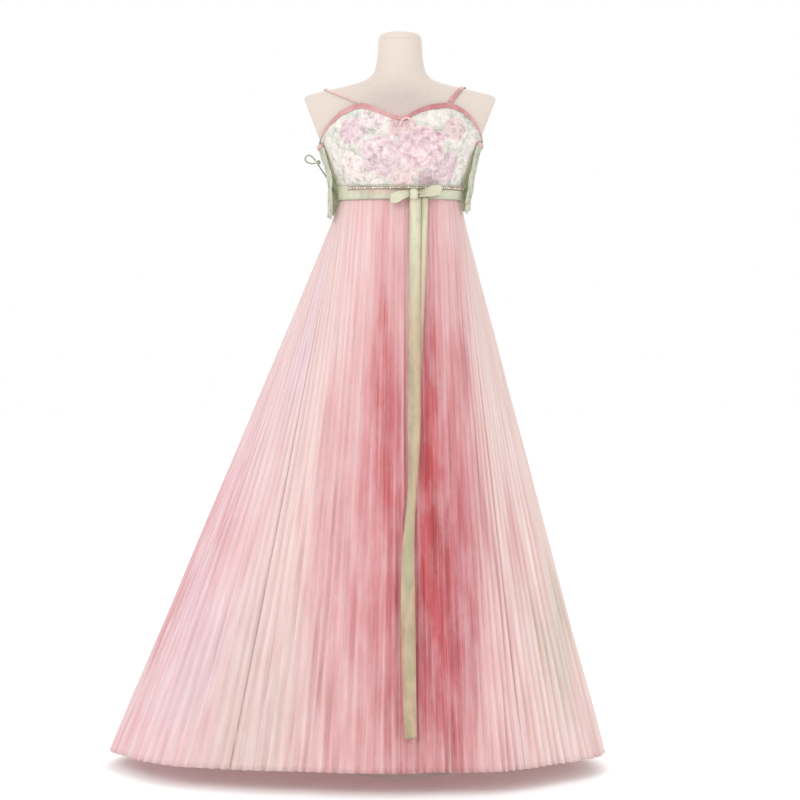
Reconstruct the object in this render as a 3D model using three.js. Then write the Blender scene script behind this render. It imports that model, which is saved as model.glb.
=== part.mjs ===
// A pleated strap dress on a limbless dress form that stands on a pole and a round base.
// Millimetres, +Z up. The origin is on the floor under the pole, and the front faces -Y.
import * as THREE from 'three';

// Driving dimensions
const SEAM_GAP = 0.3;           // between pieces that meet
const CLOTH_WALL = 1.2;         // skirt, bodice and bindings
const RIBBON_WALL = 1.0;        // sash ribbon and straps
const BELT_TOP = 1170;
const BELT_BOTTOM = 1143;
const WAIST_SEAM = 1155;        // the skirt meets the bodice here, behind the belt
const FORM_BOTTOM = 822;
const FORM_TOP = 1478;
const NECK_CAP_SEAM = 1462;
const STUMP_BOTTOM = 1249;      // the flat arm ends start here
const STUMP_HALF = 155;         // half width of the form at that height
const STUMP_SLOPE = 0.38;       // the flat arm ends lean outwards this much per millimetre
const BASE_RADIUS = 130;
const BASE_CENTRE_Y = 40;
const BASE_THICKNESS = 12;
const BASE_TAPER = 3;
const POLE_RADIUS = 14;
const HEM_LEFT = 588;
const HEM_RIGHT = 410;
const HEM_FRONT = 262;
const HEM_BACK = 350;
const HEM_MIDDLE_HEIGHT = 32.5; // at the sides
const HEM_HEIGHT_SWING = 12.5;  // higher in front, lower behind
const PLEATS = 124;

// Cross-sections of the dress form: half width, depth in front of the pole and depth behind it
const FORM_SECTIONS = [
  { z: 822, half: 152, front: 92, back: 104 },
  { z: 870, half: 157, front: 96, back: 112 },
  { z: 920, half: 151, front: 94, back: 106 },
  { z: 980, half: 128, front: 86, back: 88 },
  { z: 1050, half: 109, front: 79, back: 79 },
  { z: 1100, half: 110, front: 80, back: 81 },
  { z: 1155, half: 115, front: 82, back: 84 },
  { z: 1200, half: 131, front: 91, back: 95 },
  { z: 1230, half: 142, front: 97, back: 102 },
  { z: 1250, half: 153, front: 97, back: 104 },
  { z: 1285, half: 176, front: 88, back: 102 },
  { z: 1315, half: 190, front: 74, back: 90 },
  { z: 1338, half: 196, front: 62, back: 72 },
  { z: 1350, half: 186, front: 54, back: 60 },
  { z: 1358, half: 160, front: 49, back: 53 },
  { z: 1366, half: 124, front: 46, back: 50 },
  { z: 1375, half: 88, front: 45, back: 48 },
  { z: 1386, half: 62, front: 44, back: 46 },
  { z: 1402, half: 50, front: 43, back: 44 },
  { z: 1430, half: 45, front: 41, back: 42 },
  { z: 1462, half: 43, front: 40, back: 40 },
  { z: 1472, half: 38, front: 36, back: 36 },
  { z: 1478, half: 18, front: 17, back: 17 },
];
const FORM_COLUMNS = 44;
const FORM_EXTRA_LEVELS = [1178, 1215, 1240, 1267, 1300, 1327];
const BUST = { x: 74, z: 1232, rise: 27, width: 50, height: 44 };

// Top edge of the bodice front, by the angle round the body from the middle front
const NECKLINE = [
  { angle: -90, z: 1252 },
  { angle: -80, z: 1266 },
  { angle: -57, z: 1298 },
  { angle: -43, z: 1319 },
  { angle: -28, z: 1330 },
  { angle: -18, z: 1322 },
  { angle: -9, z: 1311 },
  { angle: 2, z: 1301 },
  { angle: 10, z: 1314 },
  { angle: 22, z: 1327 },
  { angle: 35, z: 1331 },
  { angle: 48, z: 1321 },
  { angle: 63, z: 1298 },
  { angle: 80, z: 1272 },
  { angle: 90, z: 1258 },
];

// The back panel hangs straight from under the arms, outside the top of the skirt
const BACK_PANEL_SECTIONS = [
  { z: 1100, left: 142, right: 138, back: 117 },
  { z: 1130, left: 141, right: 137, back: 114 },
  { z: 1165, left: 142, right: 144, back: 112 },
  { z: 1200, left: 147, right: 150, back: 112 },
  { z: 1230, left: 157, right: 157, back: 113 },
  { z: 1258, left: 166, right: 166, back: 114 },
];
const BACK_PANEL_FRONT_DEPTH = 105;
const BACK_PANEL_REACH = 112;    // degrees from the middle back to its front edges

// Edges of the back panel, by the angle round the body from the middle back
const BACK_PANEL_EDGES = [
  { angle: -110, bottom: 1104, top: 1252 },
  { angle: -80, bottom: 1113, top: 1247 },
  { angle: -40, bottom: 1118, top: 1240 },
  { angle: 0, bottom: 1118, top: 1236 },
  { angle: 40, bottom: 1120, top: 1240 },
  { angle: 80, bottom: 1124, top: 1250 },
  { angle: 110, bottom: 1116, top: 1256 },
];

// How the pleats fan out: the angle at the waist and at the hem, counted from the middle back
const PLEAT_FAN = [
  { pleat: 0, waist: -180, hem: -180 },
  { pleat: 28, waist: -110, hem: -96 },
  { pleat: 46, waist: -77, hem: -34 },
  { pleat: 62, waist: 0, hem: 0 },
  { pleat: 78, waist: 77, hem: 36 },
  { pleat: 96, waist: 110, hem: 96 },
  { pleat: 124, waist: 180, hem: 180 },
];

// Skirt panels, from one seam to the next
const SKIRT_PANELS = [
  { name: 'skirt_back_left', from: 0, to: 28, color: 0xe9d3d3 },
  { name: 'skirt_side_left', from: 28, to: 46, color: 0xe6c6d2 },
  { name: 'skirt_front', from: 46, to: 78, color: 0xdc9aa2 },
  { name: 'skirt_side_right', from: 78, to: 96, color: 0xeccfc6 },
  { name: 'skirt_back_right', from: 96, to: 124, color: 0xead6cf },
];

// Large soft folds of the skirt: place on the hem, spread and how far they stand out there
const SKIRT_FOLDS = [
  { hem: -158, spread: 12, out: 14 },
  { hem: -128, spread: 11, out: -12 },
  { hem: -104, spread: 9, out: 12 },
  { hem: -71, spread: 8, out: -10 },
  { hem: -47, spread: 7, out: 9 },
  { hem: -19, spread: 6, out: -8 },
  { hem: 9, spread: 5, out: -9 },
  { hem: 27, spread: 6, out: 8 },
  { hem: 49, spread: 8, out: -9 },
  { hem: 74, spread: 8, out: 8 },
  { hem: 112, spread: 11, out: -12 },
  { hem: 146, spread: 12, out: 13 },
];

// Ribbon tails: middle line across the front and half width, down the skirt
const FRONT_TAIL = [
  { z: 1138, x: 30, half: 11.5 },
  { z: 1050, x: 29, half: 11.5 },
  { z: 900, x: 28, half: 11.5 },
  { z: 740, x: 28, half: 12.5 },
  { z: 640, x: 26, half: 11 },
  { z: 575, x: 23, half: 8 },
  { z: 510, x: 18, half: 10 },
  { z: 446, x: 15, half: 13 },
  { z: 330, x: 15.5, half: 14 },
  { z: 200, x: 18, half: 13 },
  { z: 112, x: 20, half: 12 },
];
const BACK_TAIL = [
  { z: 1139, x: 46, half: 9 },
  { z: 1050, x: 43, half: 9.5 },
  { z: 940, x: 38, half: 10 },
  { z: 800, x: 32, half: 10 },
  { z: 600, x: 25, half: 9 },
  { z: 420, x: 17, half: 9 },
  { z: 250, x: 17, half: 9 },
];

// Bow loops: how far each reaches from the knot, and how much its end rises
const BOW_KNOT = { x: 27, z: 1152, halfWidth: 10, halfDepth: 6, halfHeight: 11 };
const BOW_LOOPS = [
  { name: 'bow_loop_left', start: -11, reach: -46, rise: -9, half: 10, bulge: 10 },
  { name: 'bow_loop_right', start: 11, reach: 54, rise: 9, half: 9.5, bulge: 9 },
];

// Shoulder straps: from the binding over the shoulder to the back panel
const STRAPS = [
  {
    name: 'strap_left', width: 4, color: 0xe8b9b6,
    front: [[-86, 1333], [-104, 1342], [-122, 1350], [-138, 1357]],
    top: [-149, 1364],
    back: [[-148, 1352], [-138, 1326], [-121, 1292], [-104, 1250]],
  },
  {
    name: 'strap_right', width: 8, color: 0xd58c93,
    front: [[98, 1334], [104, 1342], [111, 1351], [118, 1359]],
    top: [126, 1369],
    back: [[131, 1354], [127, 1326], [114, 1292], [100, 1250]],
  },
];

// The side tie on the left of the body
const TIE_KNOT = { x: -163, y: 2, z: 1219, radius: 4.5 };
const TIE_CORD_DIAMETER = 3;
const TIE_LOOP_ROUTE = [
  [-168, 0.8, 1222], [-173, -1, 1228], [-179, -2, 1232.5], [-185, -1.5, 1232], [-189, 0, 1227],
  [-187, 1.5, 1221], [-181, 2.8, 1217.8], [-174, 3.6, 1217], [-168.2, 3.4, 1218],
];
const TIE_END_ROUTE = [
  [-163, 6, 1215], [-161, 13, 1211], [-157, 21, 1205], [-152, 29, 1198], [-148, 37, 1191],
];

const COLORS = {
  jersey: 0xeee0d2,
  steel: 0xd9d6d0,
  enamel: 0xe8e5e0,
  brocade: 0xd9dccf,
  jacquard: 0xcfd8c4,
  rose: 0xd88a93,
  sage: 0xb9bfa4,
  ribbon: 0xbfc2a0,
  beads: 0xa39a92,
  cord: 0xa9b09a,
};
const SATIN = 0.5;              // roughness of satin, beads and ribbon
const RAD = Math.PI / 180;

// Value of a column between the rows of a table, smooth and with no overshoot
function sample(table, key, column, at) {
  const last = table.length - 1;
  if (at <= table[0][key]) return table[0][column];
  if (at >= table[last][key]) return table[last][column];
  let i = 0;
  while (table[i + 1][key] < at) i += 1;
  const step = (j) => table[j + 1][key] - table[j][key];
  const slope = (j) => (table[j + 1][column] - table[j][column]) / step(j);
  const tangent = (j) => {
    if (j === 0) return slope(0);
    if (j === last) return slope(last - 1);
    const before = slope(j - 1);
    const after = slope(j);
    if (before * after <= 0) return 0;
    const w1 = 2 * step(j) + step(j - 1);
    const w2 = step(j) + 2 * step(j - 1);
    return (w1 + w2) / (w1 / before + w2 / after);
  };
  const h = step(i);
  const s = (at - table[i][key]) / h;
  const rest = 1 - s;
  return (1 + 2 * s) * rest * rest * table[i][column]
    + s * rest * rest * h * tangent(i)
    + s * s * (3 - 2 * s) * table[i + 1][column]
    - s * s * rest * h * tangent(i + 1);
}

function range(count) {
  return Array.from({ length: count + 1 }, (_, i) => i / count);
}

// A triangle mesh from points and faces
function solid(points, faces) {
  const geometry = new THREE.BufferGeometry();
  geometry.setAttribute('position', new THREE.Float32BufferAttribute(points.flat(), 3));
  geometry.setIndex(faces.flat());
  geometry.computeVertexNormals();
  return geometry;
}

// A closed wall between two grids of points; rows run up or along, columns run across.
// Seen from the outer grid's side, columns run to the right and rows run down.
function wall(outer, inner) {
  const rows = outer.length;
  const columns = outer[0].length;
  const shift = rows * columns;
  const at = (r, c) => r * columns + c;
  const faces = [];
  const quad = (a, b, c, d) => faces.push([a, b, c], [a, c, d]);
  for (let r = 0; r + 1 < rows; r += 1) {
    for (let c = 0; c + 1 < columns; c += 1) {
      quad(at(r, c), at(r + 1, c), at(r + 1, c + 1), at(r, c + 1));
      quad(at(r, c) + shift, at(r, c + 1) + shift, at(r + 1, c + 1) + shift, at(r + 1, c) + shift);
    }
  }
  for (let c = 0; c + 1 < columns; c += 1) {
    const end = rows - 1;
    quad(at(0, c), at(0, c + 1), at(0, c + 1) + shift, at(0, c) + shift);
    quad(at(end, c + 1), at(end, c), at(end, c) + shift, at(end, c + 1) + shift);
  }
  for (let r = 0; r + 1 < rows; r += 1) {
    const end = columns - 1;
    quad(at(r + 1, 0), at(r, 0), at(r, 0) + shift, at(r + 1, 0) + shift);
    quad(at(r, end), at(r + 1, end), at(r + 1, end) + shift, at(r, end) + shift);
  }
  return solid([...outer.flat(), ...inner.flat()], faces);
}

// A solid through closed rings, from the lowest up; each ring runs anticlockwise from above
function loft(rings) {
  const count = rings[0].length;
  const faces = [];
  for (let r = 0; r + 1 < rings.length; r += 1) {
    for (let c = 0; c < count; c += 1) {
      const next = (c + 1) % count;
      const low = r * count;
      const high = low + count;
      faces.push([low + c, low + next, high + next], [low + c, high + next, high + c]);
    }
  }
  const top = (rings.length - 1) * count;
  for (let c = 1; c + 1 < count; c += 1) {
    faces.push([0, c + 1, c], [top, top + c, top + c + 1]);
  }
  return solid(rings.flat(), faces);
}

function smoothLine(route) {
  const points = route.map((p) => new THREE.Vector3(...p));
  return new THREE.CatmullRomCurve3(points, false, 'centripetal');
}

function add(group, name, geometry, color, roughness = 0.85, metalness = 0) {
  const mesh = new THREE.Mesh(
    geometry,
    new THREE.MeshStandardMaterial({ color, roughness, metalness, side: THREE.DoubleSide }),
  );
  mesh.name = name;
  group.add(mesh);
  return mesh;
}

// Dress form
function bustRise(x, z) {
  const up = Math.exp(-(((z - BUST.z) / BUST.height) ** 2));
  const left = Math.exp(-(((x + BUST.x) / BUST.width) ** 2));
  const right = Math.exp(-(((x - BUST.x) / BUST.width) ** 2));
  return BUST.rise * up * (left + right);
}

function stumpLimit(z) {
  return z > STUMP_BOTTOM ? STUMP_HALF + STUMP_SLOPE * (z - STUMP_BOTTOM) : Infinity;
}

// Depth of the form's surface, grown outwards, at a place across and up; side is -1 in front
function formDepth(x, z, side, grow) {
  const half = sample(FORM_SECTIONS, 'z', 'half', z) + grow;
  const depth = sample(FORM_SECTIONS, 'z', side < 0 ? 'front' : 'back', z) + grow;
  const bend = Math.sqrt(Math.max(0, 1 - (x / half) ** 2));
  return side * depth * bend - (side < 0 ? bustRise(x, z) * bend ** 0.5 : 0);
}

function formRing(z, count) {
  const half = sample(FORM_SECTIONS, 'z', 'half', z);
  const limit = stumpLimit(z);
  return range(count).slice(0, count).map((s) => {
    const angle = 2 * Math.PI * s;
    const x = half * Math.sin(angle);
    const y = formDepth(x, z, Math.cos(angle) > 0 ? -1 : 1, 0);
    return [Math.max(-limit, Math.min(limit, x)), y, z];
  });
}

function formBody(from, to, levels) {
  const heights = [from, ...levels.filter((z) => z > from + 1 && z < to - 1), to];
  return loft(heights.map((z) => formRing(z, FORM_COLUMNS)));
}

function buildForm(group) {
  const levels = FORM_SECTIONS.map((row) => row.z);
  const all = [...levels, ...FORM_EXTRA_LEVELS].sort((a, b) => a - b);
  add(group, 'dress_form', formBody(FORM_BOTTOM, NECK_CAP_SEAM, all), COLORS.jersey);
  add(group, 'neck_cap', formBody(NECK_CAP_SEAM + SEAM_GAP, FORM_TOP, all), COLORS.jersey);
}

// Stand
const POLE_SIDES = 24;
const BASE_SIDES = 64;

function buildStand(group) {
  const poleLength = FORM_BOTTOM - BASE_THICKNESS - 2 * SEAM_GAP;
  const pole = new THREE.CylinderGeometry(POLE_RADIUS, POLE_RADIUS, poleLength, POLE_SIDES);
  const base = new THREE.CylinderGeometry(
    BASE_RADIUS - BASE_TAPER, BASE_RADIUS, BASE_THICKNESS, BASE_SIDES,
  );
  const poleMesh = add(group, 'stand_pole', pole, COLORS.steel, 0.35, 0.8);
  poleMesh.rotation.x = Math.PI / 2;
  poleMesh.position.set(0, 0, BASE_THICKNESS + SEAM_GAP + poleLength / 2);
  const baseMesh = add(group, 'stand_base', base, COLORS.enamel, 0.4, 0.3);
  baseMesh.rotation.x = Math.PI / 2;
  baseMesh.position.set(0, BASE_CENTRE_Y, BASE_THICKNESS / 2);
}

// Bodice: the front is made on the form's surface, moved out
const BODICE_EASE = 4;
const BODICE_ROWS = 5;
const NECK_DIP = 2;             // degrees from the middle at which the neckline dips lowest
const SIDE_ANGLE = 88;
const LEFT_COLUMNS = 18;
const RIGHT_COLUMNS = 17;
const LAPPED_COLUMNS = 2;       // the right binding lies over the left one up to this column

function bodiceSurface(angle, z) {
  const side = neckline(angle < 0 ? -90 : 90);
  const seam = Math.min(z, side);
  const reach = Math.min(sample(FORM_SECTIONS, 'z', 'half', seam), stumpLimit(seam));
  const x = (reach + BODICE_EASE) * Math.sin(angle * RAD);
  return new THREE.Vector3(x, formDepth(x, z, -1, BODICE_EASE), z);
}

function bodicePoint(angle, z, out) {
  const across = bodiceSurface(angle + 1, z).sub(bodiceSurface(angle - 1, z));
  const up = bodiceSurface(angle, z + 1).sub(bodiceSurface(angle, z - 1));
  const normal = across.cross(up).normalize();
  return bodiceSurface(angle, z).addScaledVector(normal, out).toArray();
}

function spread(from, to, count) {
  return range(count).map((s) => from + (to - from) * s);
}

// A panel's heights down one column: its top, the lower edge of its binding, and rows to its foot
function panelHeights(top, band, foot, rows) {
  return [top, ...spread(top - band, foot, rows)];
}

// A wall between the same heights at two distances out; heights gives one list for each angle
function strip(point, angles, heights, out, thick) {
  const lists = angles.map(heights);
  const grid = (more) => lists[0].map((_, row) => angles.map((angle, column) => (
    point(angle, lists[column][row], out(angle) + more)
  )));
  return wall(grid(thick), grid(0));
}

const neckline = (angle) => sample(NECKLINE, 'angle', 'z', angle);
const BINDING_OUT = CLOTH_WALL + 2 * SEAM_GAP;
const BACK_BINDING_WIDTH = 6;
const BACK_PANEL_COLUMNS = 26;
const BACK_PANEL_ROWS = 3;

// The binding is widest over the bust
const BINDING = { narrow: 5, extra: 6, widestAt: 30, spread: 34 };

function bindingWidth(angle) {
  const off = (Math.abs(angle) - BINDING.widestAt) / BINDING.spread;
  return BINDING.narrow + BINDING.extra * Math.exp(-off * off);
}

function buildBodiceFront(group) {
  const left = spread(-SIDE_ANGLE, NECK_DIP, LEFT_COLUMNS);
  const right = spread(NECK_DIP, SIDE_ANGLE, RIGHT_COLUMNS);
  const foot = WAIST_SEAM + SEAM_GAP;
  const heights = (angle) => [
    ...panelHeights(neckline(angle), bindingWidth(angle), BELT_TOP, BODICE_ROWS),
    foot,
  ];
  const flush = () => 0;
  const cloth = strip(bodicePoint, [...left, ...right.slice(1)], heights, flush, CLOTH_WALL);
  add(group, 'bodice_front', cloth, COLORS.brocade);
  const band = (angle) => [neckline(angle), neckline(angle) - bindingWidth(angle)];
  const lap = [left[left.length - 2], ...right];
  const outer = BINDING_OUT + CLOTH_WALL + SEAM_GAP;
  const under = () => BINDING_OUT;
  const over = (angle) => (angle < right[LAPPED_COLUMNS] ? outer : BINDING_OUT);
  const below = strip(bodicePoint, left, band, under, CLOTH_WALL);
  const above = strip(bodicePoint, lap, band, over, CLOTH_WALL);
  add(group, 'binding_left', below, COLORS.rose, SATIN);
  add(group, 'binding_right', above, COLORS.rose, SATIN);
}

// Back panel: angles count from the middle back, and its ends lap in front of the sides
function backPanelPoint(angle, z, out) {
  const half = sample(BACK_PANEL_SECTIONS, 'z', angle < 0 ? 'left' : 'right', z) + out;
  const back = sample(BACK_PANEL_SECTIONS, 'z', 'back', z) + out;
  const turn = angle * RAD;
  const depth = Math.cos(turn) > 0 ? back : BACK_PANEL_FRONT_DEPTH + out;
  return [half * Math.sin(turn), depth * Math.cos(turn), z];
}

function buildBackPanel(group) {
  const angles = spread(BACK_PANEL_REACH, -BACK_PANEL_REACH, BACK_PANEL_COLUMNS);
  const edge = (column) => (angle) => sample(BACK_PANEL_EDGES, 'angle', column, angle);
  const top = edge('top');
  const bottom = edge('bottom');
  const heights = (angle) => (
    panelHeights(top(angle), BACK_BINDING_WIDTH, bottom(angle), BACK_PANEL_ROWS)
  );
  const band = (angle) => [top(angle), top(angle) - BACK_BINDING_WIDTH];
  const flush = () => 0;
  const over = () => BINDING_OUT;
  const cloth = strip(backPanelPoint, angles, heights, flush, CLOTH_WALL);
  add(group, 'bodice_back', cloth, COLORS.jacquard);
  const binding = strip(backPanelPoint, angles, band, over, CLOTH_WALL);
  add(group, 'binding_back', binding, COLORS.rose, SATIN);
}

// Skirt: straight pleats from the waist ring to the hem ring
const WAIST_HALF = 120.2;
const WAIST_FRONT = 87.6;
const WAIST_BACK = 89.6;
const WAIST_PLEAT_DEPTH = 1.6;
const HEM_PLEAT_DEPTH = 10;
const HEM_CENTRE_Y = (HEM_BACK - HEM_FRONT) / 2;
const SKIRT_ROWS = [0, 0.35, 0.68, 1];
const SKIRT_ROUGHNESS = 0.7;
const FOLD_GROWTH = 1.4;        // the large folds grow down the skirt with this power
const NEIGHBOUR = 0.25;         // a quarter of a pleat, to take directions over
const PLEAT_SHIFT = 0.1;        // how far a fold line strays from its place, in pleats
const PLEAT_DEPTH_CHANGE = 0.22;
const WALL_STEEPNESS = 0.45;    // keeps the wall's thickness on the steep sides at the hem

function waistPoint(angle) {
  const turn = angle * RAD;
  const depth = Math.cos(turn) > 0 ? WAIST_FRONT : WAIST_BACK;
  return [WAIST_HALF * Math.sin(turn), -depth * Math.cos(turn), BELT_BOTTOM];
}

function hemPoint(angle) {
  const turn = angle * RAD;
  const half = Math.sin(turn) < 0 ? HEM_LEFT : HEM_RIGHT;
  const depth = (HEM_BACK + HEM_FRONT) / 2;
  const z = HEM_MIDDLE_HEIGHT + HEM_HEIGHT_SWING * Math.cos(turn);
  return [half * Math.sin(turn), HEM_CENTRE_Y - depth * Math.cos(turn), z];
}

function foldOut(hemAngle, down) {
  const sum = SKIRT_FOLDS.reduce((total, fold) => {
    const off = (hemAngle - fold.hem) / fold.spread;
    return total + fold.out * Math.exp(-off * off);
  }, 0);
  return sum * down ** FOLD_GROWTH;
}

// A point on the skirt's middle surface: pleat counts round it, down is 0 at the belt, 1 at the hem
function skirtPoint(pleat, down) {
  const hemAngle = sample(PLEAT_FAN, 'pleat', 'hem', pleat);
  const a = waistPoint(sample(PLEAT_FAN, 'pleat', 'waist', pleat));
  const b = hemPoint(hemAngle);
  return a.map((value, i) => value + (b[i] - value) * down);
}

// The outward direction across the pleats, level
function skirtNormal(pleat, down) {
  const a = skirtPoint(Math.max(0, pleat - NEIGHBOUR), down);
  const b = skirtPoint(Math.min(PLEATS, pleat + NEIGHBOUR), down);
  const length = Math.hypot(b[0] - a[0], b[1] - a[1]);
  return [(b[1] - a[1]) / length, -(b[0] - a[0]) / length];
}

// Uneven pleats: each fold line has its own place and depth
const LINE_TURN = 12.9898;
const SALT_TURN = 78.233;

function unevenness(index, salt) {
  return Math.sin(index * LINE_TURN + salt * SALT_TURN);
}

function skirtColumn(line, edgeShift) {
  const pleat = line / 2;
  const atSeam = edgeShift !== 0;
  const place = pleat + (atSeam ? 0 : PLEAT_SHIFT * unevenness(line, 1));
  const ridge = line % 2 === 0 ? -1 : 1;
  const depthShare = 1 + PLEAT_DEPTH_CHANGE * unevenness(line, 2);
  return (down, out) => {
    const p = skirtPoint(place, down);
    const n = skirtNormal(place, down);
    const hemAngle = sample(PLEAT_FAN, 'pleat', 'hem', place);
    const depth = WAIST_PLEAT_DEPTH + (HEM_PLEAT_DEPTH - WAIST_PLEAT_DEPTH) * down;
    const lift = ridge * depthShare * depth / 2 + foldOut(hemAngle, down);
    const steep = 1 + WALL_STEEPNESS * down;
    const push = lift + out * steep;
    return [p[0] + n[0] * push - n[1] * edgeShift, p[1] + n[1] * push + n[0] * edgeShift, p[2]];
  };
}

function buildSkirt(group) {
  for (const panel of SKIRT_PANELS) {
    const columns = [];
    for (let line = 2 * panel.from; line <= 2 * panel.to; line += 1) {
      const first = line === 2 * panel.from;
      const last = line === 2 * panel.to;
      const shift = first ? SEAM_GAP : (last ? -SEAM_GAP : 0);
      columns.push(skirtColumn(line, shift));
    }
    const grid = (out) => {
      const under = columns.map((column) => {
        const p = column(0, out);
        return [p[0], p[1], WAIST_SEAM];
      });
      return [under, ...SKIRT_ROWS.map((down) => columns.map((column) => column(down, out)))];
    };
    const cloth = wall(grid(CLOTH_WALL / 2), grid(-CLOTH_WALL / 2));
    add(group, panel.name, cloth, panel.color, SKIRT_ROUGHNESS);
  }
}

// The skirt's outermost surface in front, at a place across and up
const SEARCH_STEPS = 24;

function skirtFront(x, z) {
  const front = SKIRT_PANELS.find((panel) => panel.name === 'skirt_front');
  let low = front.from;
  let high = front.to;
  const downAt = (pleat) => {
    const hemZ = hemPoint(sample(PLEAT_FAN, 'pleat', 'hem', pleat))[2];
    return (BELT_BOTTOM - z) / (BELT_BOTTOM - hemZ);
  };
  for (let i = 0; i < SEARCH_STEPS; i += 1) {
    const middle = (low + high) / 2;
    if (skirtPoint(middle, downAt(middle))[0] < x) low = middle;
    else high = middle;
  }
  const down = Math.max(0, downAt(low));
  const hemAngle = sample(PLEAT_FAN, 'pleat', 'hem', low);
  const depth = WAIST_PLEAT_DEPTH + (HEM_PLEAT_DEPTH - WAIST_PLEAT_DEPTH) * down;
  const ridge = (1 + PLEAT_DEPTH_CHANGE) * depth / 2;
  const proud = ridge + foldOut(hemAngle, down) + CLOTH_WALL * 1.1;
  return skirtPoint(low, down)[1] - proud;
}

// Belt and its bead trim
const BELT_HALF = 122.4;
const BELT_DEPTH = 90.2;
const BELT_WALL = 1.5;
const BELT_REACH = 84;          // degrees from the middle front to each end
const BELT_COLUMNS = 28;
const BEAD_START = -54;
const BEAD_COLUMNS = 23;
const BEAD_TOP = 1168.5;
const BEAD_BOTTOM = 1161.5;
const BEAD_WALL = 2.2;

// The belt leans straight from the ring round the top of the skirt to the ring round the bodice
function beltPoint(angle, z, out) {
  const turn = angle * RAD;
  const low = [BELT_HALF * Math.sin(turn), -BELT_DEPTH * Math.cos(turn)];
  const high = bodicePoint(angle, BELT_TOP, CLOTH_WALL + 2 * SEAM_GAP);
  const share = (z - BELT_BOTTOM) / (BELT_TOP - BELT_BOTTOM);
  const x = low[0] + (high[0] - low[0]) * share + out * Math.sin(turn);
  const y = low[1] + (high[1] - low[1]) * share - out * Math.cos(turn);
  return [x, y, z];
}

function buildBelt(group) {
  const belt = () => [BELT_TOP, BELT_BOTTOM];
  const beads = () => [BEAD_TOP, BEAD_BOTTOM];
  const flush = () => 0;
  const over = () => BELT_WALL + 2 * SEAM_GAP;
  const whole = spread(-BELT_REACH, BELT_REACH, BELT_COLUMNS);
  const beaded = spread(BEAD_START, BELT_REACH, BEAD_COLUMNS);
  add(group, 'belt', strip(beltPoint, whole, belt, flush, BELT_WALL), COLORS.sage, SATIN);
  add(group, 'bead_trim', strip(beltPoint, beaded, beads, over, BEAD_WALL), COLORS.beads, SATIN);
}

// Bow: a knot, two loops that stand off the belt, and two tails
const BOW_CLEAR = 7.5;          // the back of the loops stands this far off the belt's inner face
const LOOP_STEPS = 14;
const LOOP_NECK = 0.55;         // share of a loop's width where it leaves the knot
const LOOP_PART = 0.8;          // keeps the two ends of a loop apart
const TAIL_CLEAR = 0.8;         // the rear tail stands this far off the skirt
const TAIL_APART = 1.2;
const TAIL_ROWS = 22;

function beltDepth(x) {
  return -(BELT_DEPTH + BOW_CLEAR) * Math.sqrt(1 - (x / (BELT_HALF + BOW_CLEAR)) ** 2);
}

function bowLoop(loop) {
  const path = range(LOOP_STEPS).map((s) => {
    const turn = 2 * Math.PI * s;
    const along = (1 - Math.cos(turn)) / 2;
    const x = BOW_KNOT.x + loop.start + (loop.reach - loop.start) * along;
    const open = Math.sin(turn) * loop.bulge / 2;
    const y = beltDepth(x) - loop.bulge / 2 - RIBBON_WALL - open;
    const z = BOW_KNOT.z + loop.rise * along;
    const half = loop.half * (LOOP_NECK + (1 - LOOP_NECK) * Math.min(1, 2 * along));
    return { x, y, z, half };
  });
  path[0].y -= LOOP_PART;
  path[LOOP_STEPS].y += LOOP_PART;
  const grid = (out) => path.map((p, i) => {
    const a = path[Math.max(0, i - 1)];
    const b = path[Math.min(LOOP_STEPS, i + 1)];
    const length = Math.hypot(b.x - a.x, b.y - a.y);
    const nx = -(b.y - a.y) / length;
    const ny = (b.x - a.x) / length;
    return [-1, 0, 1].map((v) => [p.x + nx * out, p.y + ny * out, p.z + v * p.half]);
  });
  return wall(grid(-RIBBON_WALL / 2), grid(RIBBON_WALL / 2));
}

function ribbonTail(rows, off) {
  const last = rows[rows.length - 1].z;
  const heights = spread(rows[0].z, last, TAIL_ROWS);
  const grid = (out) => heights.map((z) => {
    const x = sample(DESCENDING.get(rows), 'drop', 'x', -z);
    const half = sample(DESCENDING.get(rows), 'drop', 'half', -z);
    const depth = Math.min(...[-1, 0, 1].map((v) => skirtFront(x + v * half, z)));
    return [-1, 0, 1].map((v) => [x + v * half, depth - off - out, z]);
  });
  return wall(grid(RIBBON_WALL), grid(0));
}

const DESCENDING = new Map([FRONT_TAIL, BACK_TAIL].map((rows) => [
  rows,
  rows.map((row) => ({ ...row, drop: -row.z })),
]));

function buildBow(group) {
  const knot = new THREE.SphereGeometry(1, 16, 10);
  knot.scale(BOW_KNOT.halfWidth, BOW_KNOT.halfDepth, BOW_KNOT.halfHeight);
  const knotMesh = add(group, 'bow_knot', knot, COLORS.ribbon, SATIN);
  knotMesh.position.set(BOW_KNOT.x, beltDepth(BOW_KNOT.x) - BOW_KNOT.halfDepth, BOW_KNOT.z);
  for (const loop of BOW_LOOPS) add(group, loop.name, bowLoop(loop), COLORS.ribbon, SATIN);
  const rear = ribbonTail(BACK_TAIL, TAIL_CLEAR);
  const front = ribbonTail(FRONT_TAIL, TAIL_CLEAR + RIBBON_WALL + TAIL_APART);
  add(group, 'ribbon_tail_back', rear, COLORS.ribbon, SATIN);
  add(group, 'ribbon_tail_front', front, COLORS.ribbon, SATIN);
}

// Straps follow the form's surface, a little clear of it
const STRAP_CLEAR = 1.6;
const STRAP_LIFT = 2;
const STRAP_STEPS = 22;
const SHOULDER = { share: 0.8, y: 5, z: 1300 };  // a strap's outer face looks away from here

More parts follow.
